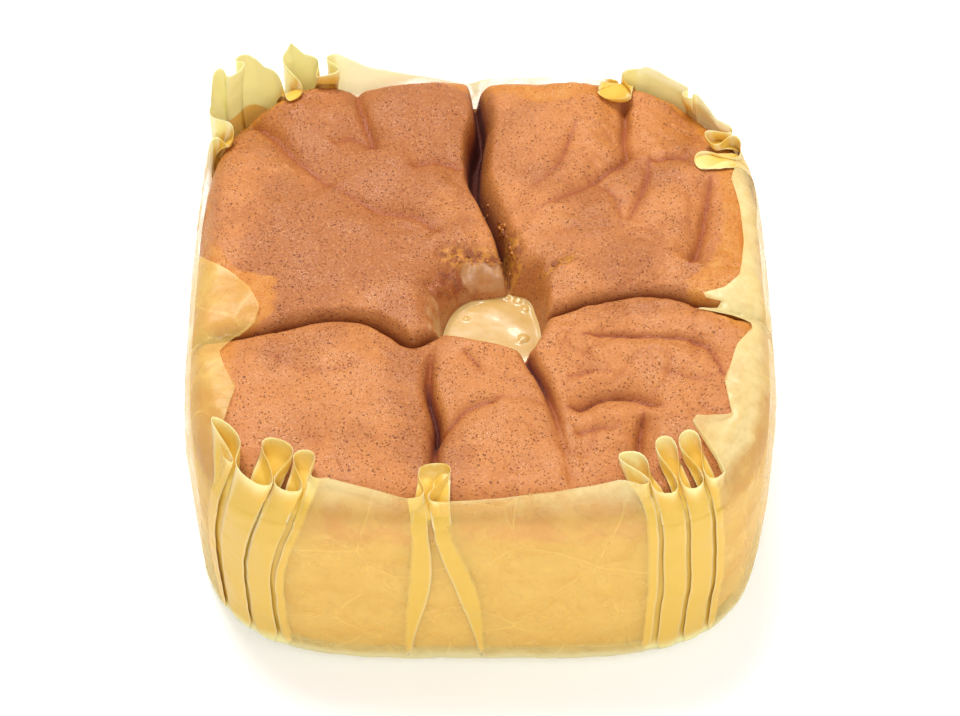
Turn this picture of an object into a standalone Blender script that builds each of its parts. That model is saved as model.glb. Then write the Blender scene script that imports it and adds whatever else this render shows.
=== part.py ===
"""A square castella sponge cake with a soft custard centre, baked and sold in its pleated paper case.

Three pieces: the sponge, whose top has split into pillows along a cross of cuts; the custard that wells up
where the cuts meet; and the greaseproof paper case that wraps the sides and base.
The frame stands on the case's base: origin under the middle, +Z up, -Y the front. Lengths are in metres.
"""

import math
from collections import namedtuple

import bmesh
import bpy
import numpy as np

MM = 0.001

# Driving dimensions. In plan the cake is a square with bowed sides and round corners.
HALF = 55.6 * MM  # half its side, at the height where the wall bulges most
SQUARENESS = 4.0  # exponent of the plan's outline: 2 is a circle, and it grows squarer from there
BULGE_HEIGHT = 27.0 * MM
BULGE_SAG = 1.1 * MM  # how much further in the wall stands at the base and at the rim
CASE_HEIGHT = 48.5 * MM
CASE_RISE = 0.8 * MM  # how much higher the rim is at the back, and lower at the front
FOOT_ROUND = 3.0 * MM  # of the bottom edge
LOOSE = (88.5, 8.0, 2.0 * MM)  # the corner where the wall stands off: place and reach, in hundredths, and how far
PAPER = 0.5 * MM  # the wall as a solid; the real sheet is far thinner
GAP = 0.3 * MM  # between touching pieces
SLACK = 0.3 * MM  # more of it round the sponge, for the wall's flat facets
RIDGE = 0.7 * MM  # how far the pressed pleats stand out from the wall

SHOULDER = 34.0 * MM  # height at which the sponge's side turns into the browned top
CROWN = 50.2 * MM  # height of the tops of the pillows
EDGE_ROUND = 7.5 * MM  # at the back, and half as much again along the front
CROWN_FALL = 3.2 * MM  # how much lower the crown is along the front
GRID = 36  # lines across the sponge's top
SNAP = 0.95  # millimetres within which one of its points is moved onto a cut

CUSTARD_LEVEL = 40.0 * MM
CUSTARD_DEPTH = 15.0 * MM
CUSTARD_SWELL = 1.6 * MM
CUSTARD_PLACE = (2.4 * MM, -6.2 * MM)
POOL_REACH = (9.0, 10.2, 8.2, 7.4, 9.0, 8.6, 7.0, 11.2)  # its outline at eight points from +X towards +Y

Cut = namedtuple("Cut", "line depths width gap")
Swell = namedtuple("Swell", "x y reach height")
Pleat = namedtuple("Pleat", "at half_base half_rim depth neck lean rise flare")

# The cross of cuts, each as a line in plan from the custard outwards, in millimetres, with the depth at its
# two ends, how far its round shoulders reach, and how far it gapes.
CUTS = (
    Cut(((5, -4), (5, 5), (3.2, 13), (0.8, 21), (-0.8, 31), (0.1, 42), (-2, 57)), (14, 8), 8.0, 1.4),
    Cut(((-2, -9), (-9, -11.5), (-14, -12.5), (-22, -9.6), (-31, -10.6), (-42, -13.5), (-57, -16)), (13, 11), 8.5, 0.4),
    Cut(((5, -8), (11, -9), (19, -6.5), (26, -4.6), (36, -4.8), (46, -8), (57, -11)), (12, 9), 7.5, 0.4),
    Cut(((-2, -11), (-6.3, -20), (-9, -27), (-7.6, -37), (-8.2, -45), (-8, -57)), (12, 7.5), 6.5, 0.3),
    Cut(((7, -12), (9.4, -21), (13.2, -30), (14.6, -38), (16.5, -47), (17.5, -57)), (9, 4.5), 5.0, 0.2),
)
# Shallower folds in the crust.
FOLDS = (
    Cut(((28, 47), (28.6, 38), (28.4, 31), (23.6, 25), (12, 16)), (2.6, 1.0), 3.4, 0.2),
    Cut(((33, 28), (31.5, 22), (29.6, 15)), (1.6, 0.8), 3.0, 0.2),
    Cut(((44, 21), (43, 15), (40, 1)), (1.8, 2.4), 3.2, 0.2),
    Cut(((21, -16), (29, -15), (37, -15.8), (43, -19), (44.5, -28)), (1.6, 2.0), 2.8, 0.2),
    Cut(((16, -31.5), (21, -29.8), (27, -28.7), (34, -32)), (1.2, 2.2), 3.0, 0.2),
    Cut(((31, -31), (29, -36), (28.5, -45)), (2.0, 2.8), 3.2, 0.2),
    Cut(((-45, 45), (-41, 38), (-35, 29), (-27, 20)), (2.4, 1.0), 7.0, 0.0),
    Cut(((-24, 54), (-26, 41), (-21.5, 31)), (2.2, 1.0), 6.0, 0.0),
    Cut(((-7, -39), (-3.6, -32.5), (4, -30)), (1.4, 0.8), 3.0, 0.0),
)
# Where the pillows stand a little higher or lower than the crown.
SWELLS = (
    Swell(-41, 16, 15, 1.4),
    Swell(-30, 40, 11, 1.2),
    Swell(-10, 42, 10, 1.6),
    Swell(-12, 18, 12, 0.8),
    Swell(16, 34, 14, 1.2),
    Swell(36, 24, 12, 0.8),
    Swell(24, 8, 12, 0.6),
    Swell(-27, -27, 13, 1.2),
    Swell(3, -27, 9, -1.0),
    Swell(33, -23, 12, 0.6),
    Swell(22, -41, 9, -0.8),
)

# Pleats and tongues of the wall. at is the way round the wall from the middle of the front, anticlockwise
# seen from above, in hundredths of its length; the half widths at the base and rim, the inward depth at the
# rim, the sideways lean, the extra height and the outward flare at the rim are in millimetres; neck is how
# tightly the loop closes, from 0, an open wave.
PLEATS = (
    Pleat(-2.4, 9.0, 3.2, 6.5, 0.4, 0.0, 0.5, 0.0),
    Pleat(6.7, 2.6, 2.8, 7.5, 0.35, -1.0, 1.0, 0.0),
    Pleat(8.3, 2.6, 2.8, 8.5, 0.35, -0.5, 1.0, 0.0),
    Pleat(9.9, 2.6, 2.8, 8.0, 0.35, 0.0, 1.0, 0.0),
    Pleat(11.8, 3.4, 3.8, 5.0, 0.2, 0.5, 1.5, 0.0),
    Pleat(21.6, 7.0, 4.6, 9.0, 0.3, 3.0, 2.5, 0.0),
    Pleat(25.6, 7.0, 5.0, 12.0, 0.1, 2.0, 3.0, 0.0),
    Pleat(30.4, 9.0, 11.0, 3.0, 0.0, 0.0, 0.0, 0.0),
    Pleat(34.6, 2.8, 3.4, 7.0, 0.3, 0.0, 0.5, 0.0),
    Pleat(37.4, 2.8, 3.2, 3.5, 0.2, 0.0, 0.5, 0.0),
    Pleat(41.6, 2.8, 3.2, 7.5, 0.3, 0.0, 0.5, 0.0),
    Pleat(57.6, 2.8, 3.2, 4.5, 0.3, 0.0, 3.0, 2.0),
    Pleat(60.2, 2.8, 3.4, 3.0, 0.3, 0.0, 5.0, 3.0),
    Pleat(62.8, 2.8, 3.4, 5.0, 0.3, 0.0, 5.0, 3.0),
    Pleat(65.4, 2.8, 3.2, 4.5, 0.2, 0.0, 1.5, 0.0),
    Pleat(76.6, 9.0, 6.0, 13.0, 0.25, -3.0, 3.0, 0.0),
    Pleat(81.2, 6.0, 4.6, 9.0, 0.1, 0.0, 2.5, 0.0),
    Pleat(86.8, 2.8, 3.4, 6.5, 0.3, 1.0, 1.0, 0.0),
    Pleat(89.0, 2.6, 3.0, 7.0, 0.35, 0.5, 1.0, 0.0),
    Pleat(90.8, 2.6, 2.8, 6.5, 0.35, 0.0, 1.0, 0.0),
    Pleat(92.4, 2.6, 2.8, 6.0, 0.35, 0.0, 0.5, 0.0),
)
PLEAT_STEPS = 6  # points across one pleat
PANEL_STEP = 6.5 * MM  # between points where the wall is plain
FOOT_ROWS = (FOOT_ROUND * 0.3, FOOT_ROUND)  # heights of the rows round the bottom edge
WALL_ROWS = (0.36, 0.68, 0.86, 0.95, 1.0)  # of the wall's other rows, as shares of the rim's
LEAN_STEPS = 12  # how finely the sheet's resting place over the crust is found
CLEAR_OF_CRUST = 1.8 * MM

CRUST_COLOUR = (0.56, 0.22, 0.085, 1)
CUSTARD_COLOUR = (0.86, 0.60, 0.22, 1)
PAPER_COLOUR = (0.83, 0.66, 0.19, 1)


def clear_scene():
    for item in list(bpy.data.objects):
        bpy.data.objects.remove(item)


def new_collection(name):
    made = bpy.data.collections.new(name)
    bpy.context.scene.collection.children.link(made)
    return made


def plain_material(name, colour, roughness):
    made = bpy.data.materials.new(name)
    made.use_nodes = True
    shader = made.node_tree.nodes["Principled BSDF"]
    shader.inputs["Base Color"].default_value = colour
    shader.inputs["Roughness"].default_value = roughness
    shader.inputs["Metallic"].default_value = 0.0
    return made


def object_from(shape, name, collection, material=None):
    """A linked object that holds the bmesh's shape."""
    bmesh.ops.recalc_face_normals(shape, faces=shape.faces)
    mesh = bpy.data.meshes.new(name)
    shape.to_mesh(mesh)
    shape.free()
    mesh.shade_smooth()
    made = bpy.data.objects.new(name, mesh)
    collection.objects.link(made)
    if material:
        mesh.materials.append(material)
    return made


def smoothstep(t):
    t = np.clip(t, 0.0, 1.0)
    return t * t * (3 - 2 * t)


def shoulder_drop(t):
    """How far a round shoulder has dropped at t of the way in from its edge: 1 at the edge, 0 on the flat."""
    t = np.clip(t, 0.0, 1.0)
    return 1 - np.sqrt(1 - (1 - t) ** 2)


def smooth_line(points, steps=6):
    """A Catmull-Rom curve through points in plan, sampled steps times a span."""
    p = np.array(points, float)
    p = np.vstack([2 * p[0] - p[1], p, 2 * p[-1] - p[-2]])
    made = []
    for before, start, end, after in zip(p, p[1:], p[2:], p[3:]):
        for t in np.arange(steps) / steps:
            made.append(
                0.5 * (2 * start + (end - before) * t
                       + (2 * before - 5 * start + 4 * end - after) * t**2
                       + (3 * start - before - 3 * end + after) * t**3)
            )
    return np.array(made + [p[-2]])


def nearest_on_line(x, y, line):
    """For each point: the nearest place on the line, how far it is, and how far along it lies, from 0 to 1."""
    best = np.full(np.shape(x), np.inf)
    near_x, near_y, along = np.zeros((3, *np.shape(x)))
    spans = len(line) - 1
    for i in range(spans):
        ax, ay = line[i]
        dx, dy = line[i + 1] - line[i]
        t = np.clip(((x - ax) * dx + (y - ay) * dy) / (dx * dx + dy * dy), 0, 1)
        px, py = ax + t * dx, ay + t * dy
        away = np.hypot(x - px, y - py)
        nearer = away < best
        best, along = np.where(nearer, away, best), np.where(nearer, (i + t) / spans, along)
        near_x, near_y = np.where(nearer, px, near_x), np.where(nearer, py, near_y)
    return near_x, near_y, best, along


def half_side(z):
    """Half the side of the case's outer skin at a height."""
    toe = FOOT_ROUND * shoulder_drop(z / FOOT_ROUND)
    return HALF - BULGE_SAG * ((z - BULGE_HEIGHT) / BULGE_HEIGHT) ** 2 - toe


def plan_radius(x, y):
    """Half the side of the plan outline that passes through each point."""
    return (np.abs(x) ** SQUARENESS + np.abs(y) ** SQUARENESS) ** (1 / SQUARENESS)


def edge_distance(x, y, half):
    """How far inside the plan outline each point lies."""
    radius = np.maximum(plan_radius(x, y), 1e-9)
    slope = np.hypot(np.abs(x / radius) ** (SQUARENESS - 1), np.abs(y / radius) ** (SQUARENESS - 1))
    return (half - radius) / np.maximum(slope, 0.5)


def cut_drop(x, y, cut):
    """How far the crust drops at each point because of one cut."""
    _, _, away, along = nearest_on_line(x / MM, y / MM, smooth_line(cut.line))
    depth = cut.depths[0] + (cut.depths[1] - cut.depths[0]) * along
    return depth * MM * shoulder_drop((away - cut.gap / 2) / cut.width)


def pool_reach(x, y):
    """How far the custard's outline is from its middle, in each point's direction."""
    angle = np.arctan2(y - CUSTARD_PLACE[1], x - CUSTARD_PLACE[0])
    turn = np.mod(angle, 2 * math.pi) / (2 * math.pi) * len(POOL_REACH)
    first = np.floor(turn).astype(int) % len(POOL_REACH)
    share = smoothstep(turn - np.floor(turn))
    reach = np.array(POOL_REACH) * MM
    return reach[first] * (1 - share) + reach[(first + 1) % len(reach)] * share


def crust_height(x, y):
    """Height of the browned top at each point in plan."""
    rise = CROWN - SHOULDER
    frontness = smoothstep((-y / HALF - 0.1) / 0.9)
    inside = edge_distance(x, y, half_side(SHOULDER) - PAPER - GAP - SLACK)
    rim = rise * shoulder_drop(inside / (EDGE_ROUND * (1 + 0.5 * frontness)))
    cuts = np.max([cut_drop(x, y, cut) for cut in CUTS], axis=0)
    past_pool = np.hypot(x - CUSTARD_PLACE[0], y - CUSTARD_PLACE[1]) - 0.75 * pool_reach(x, y)
    cuts = np.maximum(cuts, 15 * MM * shoulder_drop(past_pool / (7 * MM)))
    swell = sum(
        s.height * MM * np.exp(-((x / MM - s.x) ** 2 + (y / MM - s.y) ** 2) / s.reach**2) for s in SWELLS
    )
    folds = sum(cut_drop(x, y, fold) for fold in FOLDS)
    drop = np.cbrt(rim**3 + cuts**3) + (folds + CROWN_FALL * frontness - swell) * (1 - rim / rise)
    return np.maximum(CROWN - drop, SHOULDER)


def crowded_near(t, place, reach):
    """Moves evenly spaced values of -1..1 so that they crowd round a place and at both ends."""
    fine = np.linspace(-1, 1, 401)
    crowd = 1 + 1.6 * np.exp(-(((fine - place) / reach) ** 2)) + 1.0 * smoothstep((np.abs(fine) - 0.72) / 0.28)
    count = np.concatenate([[0], np.cumsum((crowd[1:] + crowd[:-1]) / 2)])
    return np.interp((t + 1) / 2 * count[-1], count, fine)


def square_to_plan(u, v, half):
    """Maps the square -1..1 onto the plan outline, drawing in mainly what lies near the corners."""
    reach = np.maximum(np.maximum(np.abs(u), np.abs(v)), 1e-9)
    share = 1 + (1 / plan_radius(u / reach, v / reach) - 1) * reach**3
    return u * half * share, v * half * share


def drawn_to_cuts(x, y, u, v):
    """Moves the points that lie next to a cut onto it, so that its bottom is a clean line.

    Those at the sponge's edge stay, and so do those round the custard, where the cuts run together.
    """
    apart = np.hypot(x - CUSTARD_PLACE[0], y - CUSTARD_PLACE[1]) > 13 * MM
    for cut in CUTS:
        near_x, near_y, away, _ = nearest_on_line(x / MM, y / MM, smooth_line(cut.line))
        close = apart & (away < SNAP) & (np.maximum(np.abs(u), np.abs(v)) < 0.96)
        x, y = np.where(close, near_x * MM, x), np.where(close, near_y * MM, y)
    return x, y


def grow_ring(shape, ring, place):
    """Extrudes the open border, puts each new vertex where place says for its key, and returns them with keys."""
    border = [edge for edge in shape.edges if edge.is_boundary]
    grown = bmesh.ops.extrude_edge_only(shape, edges=border)["geom"]
    made = {}
    for vert in [g for g in grown if isinstance(g, bmesh.types.BMVert)]:
        made[vert] = ring[next(e.other_vert(vert) for e in vert.link_edges if e.other_vert(vert) in ring)]
    for vert, key in made.items():
        vert.co = place(key)
    return made


def make_sponge(collection, material, pocket):
    """The sponge: a grid for the top, its border drawn down into the side and closed by a flat base."""
    shape = bmesh.new()
    bmesh.ops.create_grid(shape, x_segments=GRID, y_segments=GRID, size=1)
    inset = PAPER + GAP + SLACK
    places = np.array([v.co for v in shape.verts])
    u, v = crowded_near(places[:, 0], 0.04, 0.26), crowded_near(places[:, 1], -0.2, 0.2)
    x, y = drawn_to_cuts(*square_to_plan(u, v, half_side(SHOULDER) - inset), u, v)
    square = dict(zip(list(shape.verts), zip(u, v)))
    for vert, place in zip(list(shape.verts), zip(x, y, crust_height(x, y))):
        vert.co = place
    ring = {vert: square[vert] for edge in shape.edges if edge.is_boundary for vert in edge.verts}
    for height in (SHOULDER * 0.5, *reversed(FOOT_ROWS), 0):

        def side_place(key):
            half = half_side(max(height - inset, 0)) - inset
            return (*square_to_plan(*key, half), max(height, PAPER + GAP))

        ring = grow_ring(shape, ring, side_place)
    bmesh.ops.contextual_create(shape, geom=[edge for edge in shape.edges if edge.is_boundary])

    made = object_from(shape, "sponge", collection, material)
    scoop = made.modifiers.new("scoop", "BOOLEAN")
    scoop.operation = "DIFFERENCE"
    scoop.object = pocket
    return made


def make_custard(collection, name, grow, material=None):
    """The custard: a ball drawn out to the pool's outline, deep below its level and barely domed above it."""
    shape = bmesh.new()
    bmesh.ops.create_uvsphere(shape, u_segments=20, v_segments=10, radius=1)
    for vert in shape.verts:
        x, y = CUSTARD_PLACE[0] + vert.co.x * MM, CUSTARD_PLACE[1] + vert.co.y * MM
        reach = float(pool_reach(np.array(x), np.array(y))) + grow
        height = (CUSTARD_SWELL if vert.co.z > 0 else CUSTARD_DEPTH) + grow
        vert.co = (
            CUSTARD_PLACE[0] + vert.co.x * reach,
            CUSTARD_PLACE[1] + vert.co.y * reach,
            CUSTARD_LEVEL + vert.co.z * height,
        )
    return object_from(shape, name, collection, material)


def plan_outline():
    """The plan outline of half side 1: its length, and a function from hundredths of the way round to points.

    The way round starts in the middle of the front and runs anticlockwise seen from above.
    """
    turn = np.linspace(-math.pi / 2, 1.5 * math.pi, 2001)
    x, y = np.cos(turn), np.sin(turn)
    size = plan_radius(x, y)
    x, y = x / size, y / size
    way = np.concatenate([[0], np.cumsum(np.hypot(np.diff(x), np.diff(y)))])

    def at(station):
        place = np.mod(station, 100) / 100 * way[-1]
        return np.interp(place, way, x), np.interp(place, way, y)

    return way[-1] * HALF, at


AROUND, OUTLINE_AT = plan_outline()


def pleat_width(pleat, row):
    """A pleat's whole width at a row, in hundredths of the way round."""
    return 2 * (pleat.half_base + (pleat.half_rim - pleat.half_base) * row) * MM / AROUND * 100


def wall_stations():
    """Where round the wall its points stand: close across the pleats, wide on the panels."""
    spans = sorted((p.at - pleat_width(p, 1) / 2, p.at + pleat_width(p, 1) / 2) for p in PLEATS)
    stations = []
    for (low, high), (following, _) in zip(spans, spans[1:] + [(spans[0][0] + 100, 0)]):
        high = min(high, following)
        stations += list(np.linspace(low, high, PLEAT_STEPS, endpoint=False))
        steps = max(1, round((following - high) * AROUND / 100 / PANEL_STEP))
        if following > high + 1e-6:
            stations += list(np.linspace(high, following, steps, endpoint=False))
    return np.array(stations)


def rest_on_crust(x, y, z, nx, ny, inward):
    """How far in the sheet leans at each point: as asked, but stopping where it would meet the crust."""
    free = np.ones(len(x), bool)
    leant = np.zeros(len(x))
    for step in np.linspace(0, 1, LEAN_STEPS)[1:]:
        tried = np.maximum(inward, 0) * step
        over_x, over_y = x - nx * (tried + PAPER), y - ny * (tried + PAPER)
        for aside in (-CLEAR_OF_CRUST, 0, CLEAR_OF_CRUST):
            free &= crust_height(over_x - ny * aside, over_y + nx * aside) + CLEAR_OF_CRUST < z
        leant = np.where(free, tried, leant)
    return np.where(inward > 0, leant, inward)


def wall_points(stations, row):
    """Points of the case's outer skin at a share of its height, as an array."""
    x, y = OUTLINE_AT(stations)
    nx, ny = np.sign(x) * np.abs(x) ** (SQUARENESS - 1), np.sign(y) * np.abs(y) ** (SQUARENESS - 1)
    nx, ny = nx / np.hypot(nx, ny), ny / np.hypot(nx, ny)
    z = (CASE_HEIGHT + CASE_RISE * y * row) * row
    z = z + 0.8 * MM * np.sin(stations / 100 * 2 * math.pi * 7 + 1) * row**2
    inward, sideways, flare = np.zeros((3, len(stations)))
    opened = smoothstep((row - 0.64) / 0.36)
    for pleat in PLEATS:
        away = np.mod(stations - pleat.at + 50, 100) - 50 - pleat.lean * (1 - row) * MM / AROUND * 100
        q = np.clip(2 * away / pleat_width(pleat, row), -1, 1)
        bump = (1 + np.cos(math.pi * q)) / 2
        inward += (pleat.depth * MM * opened - RIDGE * smoothstep(row * 4) * (1 - opened)) * bump
        sideways += pleat.neck * opened * pleat.half_rim * MM * np.sin(2 * math.pi * q)
        broad = np.exp(-((away / pleat_width(pleat, row)) ** 2))
        z = z + pleat.rise * MM * row**3 * broad
        flare += pleat.flare * MM * row**4 * broad
    loose = np.exp(-(((np.mod(stations - LOOSE[0] + 50, 100) - 50) / LOOSE[1]) ** 2))
    half = half_side(z) + flare + LOOSE[2] * loose * math.sin(math.pi * min(row * 1.3, 1)) ** 0.5
    x, y = x * half, y * half
    inward = rest_on_crust(x, y, z, nx, ny, inward)
    return np.stack([x - nx * inward - ny * sideways, y - ny * inward + nx * sideways, z], -1)


def make_case(collection, material):
    """The case: a disc for the base, its border drawn up row by row into the pleated wall, then thickened."""
    stations = wall_stations()
    shape = bmesh.new()
    ring = bmesh.ops.create_circle(shape, cap_ends=True, segments=len(stations), radius=1)["verts"]
    ring = dict(zip(ring, range(len(stations))))
    for vert, place in zip(ring, wall_points(stations, 0.0)):
        vert.co = place
    for row in (*(height / CASE_HEIGHT for height in FOOT_ROWS), *WALL_ROWS):
        points = wall_points(stations, row)
        ring = grow_ring(shape, ring, lambda i: points[i])

    made = object_from(shape, "paper_case", collection, material)
    wall = made.modifiers.new("wall", "SOLIDIFY")
    wall.thickness = PAPER
    wall.offset = -1
    return made


def build():
    clear_scene()
    cake = new_collection("castella_cake")
    helpers = new_collection("cutters")
    crust = plain_material("crust", CRUST_COLOUR, 0.7)
    custard = plain_material("custard", CUSTARD_COLOUR, 0.25)
    paper = plain_material("greaseproof_paper", PAPER_COLOUR, 0.45)

    pocket = make_custard(helpers, "custard_pocket", GAP)
    pocket.hide_render = True
    pocket.display_type = "WIRE"
    make_custard(cake, "custard", 0.0, custard)
    make_sponge(cake, crust, pocket)
    make_case(cake, paper)


build()
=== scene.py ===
# %% [markdown]
# # A custard castella in its paper case
#
# The cake is three things: a puffed sponge whose browned top has split into pillows, a pool of custard
# where the splits meet, and the pleated greaseproof case that both were baked in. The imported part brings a
# plain solid of each. This notebook dresses them one after the other: the sponge is modelled again with a
# fine enough surface for its creases and pores, the custard gets its wet skin, and the case becomes a thin
# sheet that is folded the way a real one is.

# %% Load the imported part
import math
from collections import namedtuple

import bpy
import numpy as np
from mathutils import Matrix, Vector, noise


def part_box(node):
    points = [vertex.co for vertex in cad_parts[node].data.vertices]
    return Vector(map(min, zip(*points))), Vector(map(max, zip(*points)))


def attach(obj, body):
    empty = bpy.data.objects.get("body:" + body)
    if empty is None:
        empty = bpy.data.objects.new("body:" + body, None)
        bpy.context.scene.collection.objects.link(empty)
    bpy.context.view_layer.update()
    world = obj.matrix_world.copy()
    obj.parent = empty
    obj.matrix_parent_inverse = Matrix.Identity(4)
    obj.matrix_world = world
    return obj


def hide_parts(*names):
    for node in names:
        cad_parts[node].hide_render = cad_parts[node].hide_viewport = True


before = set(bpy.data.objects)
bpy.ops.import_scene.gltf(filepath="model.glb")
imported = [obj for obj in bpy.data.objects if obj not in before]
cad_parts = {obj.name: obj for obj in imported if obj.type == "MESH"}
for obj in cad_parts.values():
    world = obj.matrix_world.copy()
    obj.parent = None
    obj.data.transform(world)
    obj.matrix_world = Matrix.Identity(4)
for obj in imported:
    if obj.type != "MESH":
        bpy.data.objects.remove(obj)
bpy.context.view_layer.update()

MM = 0.001

# %% [markdown]
# ## Sizes
#
# The part says where everything is, so the sizes are read from it and not typed in again: how wide the
# sponge is, how high its crown, where the middle of the custard lies. In plan the cake is neither a square nor a
# circle but between the two. A superellipse, |x|^n + |y|^n = 1, gives the bowed sides and the soft corners
# with one number, where a rounded square would need a radius and a bow for every side.

# %% Sizes read from the part
sponge_low, sponge_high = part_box("sponge")
custard_low, custard_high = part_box("custard")
case_low, case_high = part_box("paper_case")

SQUARENESS = 4.0
BULGE_HEIGHT = 27 * MM
BULGE_SAG = 1.1 * MM
LAYERS = 1.1 * MM  # room between the sponge and the outside of the case, for the pressed pleats
HALF = (sponge_high.x - sponge_low.x) / 2 + LAYERS
CASE_HEIGHT = 48.5 * MM
FOOT_ROUND = 3.0 * MM
SHOULDER = 40 * MM
CROWN = sponge_high.z - 1.0 * MM
SPONGE_FOOT = 6.5 * MM
POOL_MIDDLE = ((custard_low.x + custard_high.x) / 2, (custard_low.y + custard_high.y) / 2)
print("half side", round(HALF / MM, 1), "crown", round(CROWN / MM, 1), "pool", [round(c / MM, 1) for c in POOL_MIDDLE])


# %% Helpers for selecting and shaping
def deselect_all():
    if bpy.context.object and bpy.context.object.mode != "OBJECT":
        bpy.ops.object.mode_set(mode="OBJECT")
    bpy.ops.object.select_all(action="DESELECT")


def points_of(piece):
    """The piece's vertices as an array of places."""
    places = np.zeros(len(piece.data.vertices) * 3)
    piece.data.vertices.foreach_get("co", places)
    return places.reshape(-1, 3)


def move_points(piece, places):
    piece.data.vertices.foreach_set("co", np.ascontiguousarray(places, dtype=np.float32).ravel())
    piece.data.update()


def note(piece, name, values):
    """Keeps one number for each vertex under a name, for the material to read."""
    kept = piece.data.attributes.new(name, "FLOAT", "POINT")
    kept.data.foreach_set("value", np.ascontiguousarray(values, dtype=np.float32))


def finish_piece(piece, name, node):
    """Names the piece, lets it stand for its CAD node and ride on the cake."""
    piece.name = piece.data.name = name
    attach(piece, "root")
    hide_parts(node)
    print(name, "faces", len(piece.data.polygons))


def smoothstep(t):
    t = np.clip(t, 0.0, 1.0)
    return t * t * (3 - 2 * t)


def shoulder_drop(t):
    """The drop of a round shoulder at t of the way in from its edge: 1 at the edge, 0 on the flat."""
    t = np.clip(t, 0.0, 1.0)
    return 1 - np.sqrt(1 - (1 - t) ** 2)


def rolling(places, size, seed):
    """Smooth noise between -1 and 1 at each place, its lumps about size across."""
    return np.array([noise.noise(Vector(p) / size + Vector((seed, 0, 0))) for p in places])


# %% The plan outline and the wall's height curve
def plan_radius(x, y):
    return (np.abs(x) ** SQUARENESS + np.abs(y) ** SQUARENESS) ** (1 / SQUARENESS)


def half_side(z, foot=FOOT_ROUND):
    """Half the side of the case's outside at a height."""
    toe = foot * shoulder_drop(z / foot)
    return HALF - BULGE_SAG * ((z - BULGE_HEIGHT) / BULGE_HEIGHT) ** 2 - toe


def edge_distance(x, y, half):
    """How far inside the plan outline each point lies."""
    radius = np.maximum(plan_radius(x, y), 1e-9)
    slope = np.hypot(np.abs(x / radius) ** (SQUARENESS - 1), np.abs(y / radius) ** (SQUARENESS - 1))
    return (half - radius) / np.maximum(slope, 0.5)


def square_to_plan(u, v, half):
    """Maps the square -1..1 onto the plan outline, drawing in mainly what lies near the corners."""
    reach = np.maximum(np.maximum(np.abs(u), np.abs(v)), 1e-9)
    share = 1 + (1 / plan_radius(u / reach, v / reach) - 1) * reach**3
    return u * half * share, v * half * share


# %% The way round the plan outline
OUTLINE_TURN = np.linspace(-math.pi / 2, 1.5 * math.pi, 4001)
OUTLINE = np.stack([np.cos(OUTLINE_TURN), np.sin(OUTLINE_TURN)], 1)
OUTLINE /= plan_radius(OUTLINE[:, 0], OUTLINE[:, 1])[:, None]
OUTLINE_WAY = np.concatenate([[0], np.cumsum(np.hypot(*np.diff(OUTLINE, axis=0).T))])
AROUND = OUTLINE_WAY[-1] * HALF


def outline_at(station):
    """The outline's points, for half side 1, at hundredths of the way round from the middle of the front."""
    place = np.mod(station, 100) / 100 * OUTLINE_WAY[-1]
    return np.interp(place, OUTLINE_WAY, OUTLINE[:, 0]), np.interp(place, OUTLINE_WAY, OUTLINE[:, 1])


def station_of(x, y):
    turn = np.mod(np.arctan2(y, x) + math.pi / 2, 2 * math.pi) - math.pi / 2
    return np.interp(turn, OUTLINE_TURN, OUTLINE_WAY) / OUTLINE_WAY[-1] * 100


def in_hundredths(millimetres):
    return millimetres * MM / AROUND * 100


# %% [markdown]
# ## The split crust
#
# When the cake puffs up in the oven its skin can't stretch, so it tears along a cross and each quarter
# rises into a pillow. Every tear is a line in plan. The crust drops towards it in a quarter of an ellipse,
# flat on the pillow and upright at the line, which is what makes the pillows look blown up. Shallower lines
# of the same kind are the wrinkles. Sculpting brushes would give this too, but not twice the same, and a
# formula can be read and changed.

# %% Lines of the tears and wrinkles
Cut = namedtuple("Cut", "line depths width gaps left right", defaults=(1, 1))
Swell = namedtuple("Swell", "x y reach height")

# Each line in plan, in millimetres, with its depths from end to end, the reach of its shoulders, its gapes, and
# what its left and right shoulders' reach is multiplied by.
TEARS = (
    Cut(((5.6, 2), (4.9, 5.5), (3.6, 12), (1.2, 19), (-0.8, 25), (-1.2, 31), (-0.8, 37), (0.1, 43), (-1.6, 57)),
        (9, 12, 13, 14, 14, 14, 13, 11, 8), 2.9, (0.2, 0.2, 0.4, 0.8, 1.2, 1.6, 1.7, 1.2, 0.8), 0.6, 1.1),
    Cut(((-7, -13.4), (-10, -15.6), (-13, -16.7), (-16, -14.4), (-21.7, -10.9), (-30, -11.2), (-42, -14.2), (-57, -17)),
        (6, 12, 11, 10, 8, 7), 3.0, (0.2, 0.4, 0.3, 0.2, 0.2, 0.2), 0.45, 0.8),
    Cut(((9, -10), (13, -9.4), (19, -7.5), (25, -5.8), (31, -5.1), (37, -5.9), (46, -9.8), (57, -11.5)),
        (6, 8, 7, 6, 7, 8), 2.7, (0.1, 0.2, 0.1, 0.1, 0.1, 0.2), 0.9, 0.45),
    Cut(((-8.3, -17.5), (-9.0, -21), (-9.3, -27.5), (-7.7, -34.3), (-8.2, -42), (-8, -57)),
        (0.2, 2.6, 5, 6, 4, 3), 2.3, (0.0, 0.0, 0.1, 0.2, 0.1, 0.0)),
    Cut(((8, -17), (9.3, -20.7), (12.1, -27), (13.9, -34), (15.2, -41), (17.5, -57)),
        (6, 5.5, 4.5, 2.6, 1.4, 1.2), 2.0, (0.2, 0.1, 0.1, 0.1, 0.0, 0.0)),
)
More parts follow.
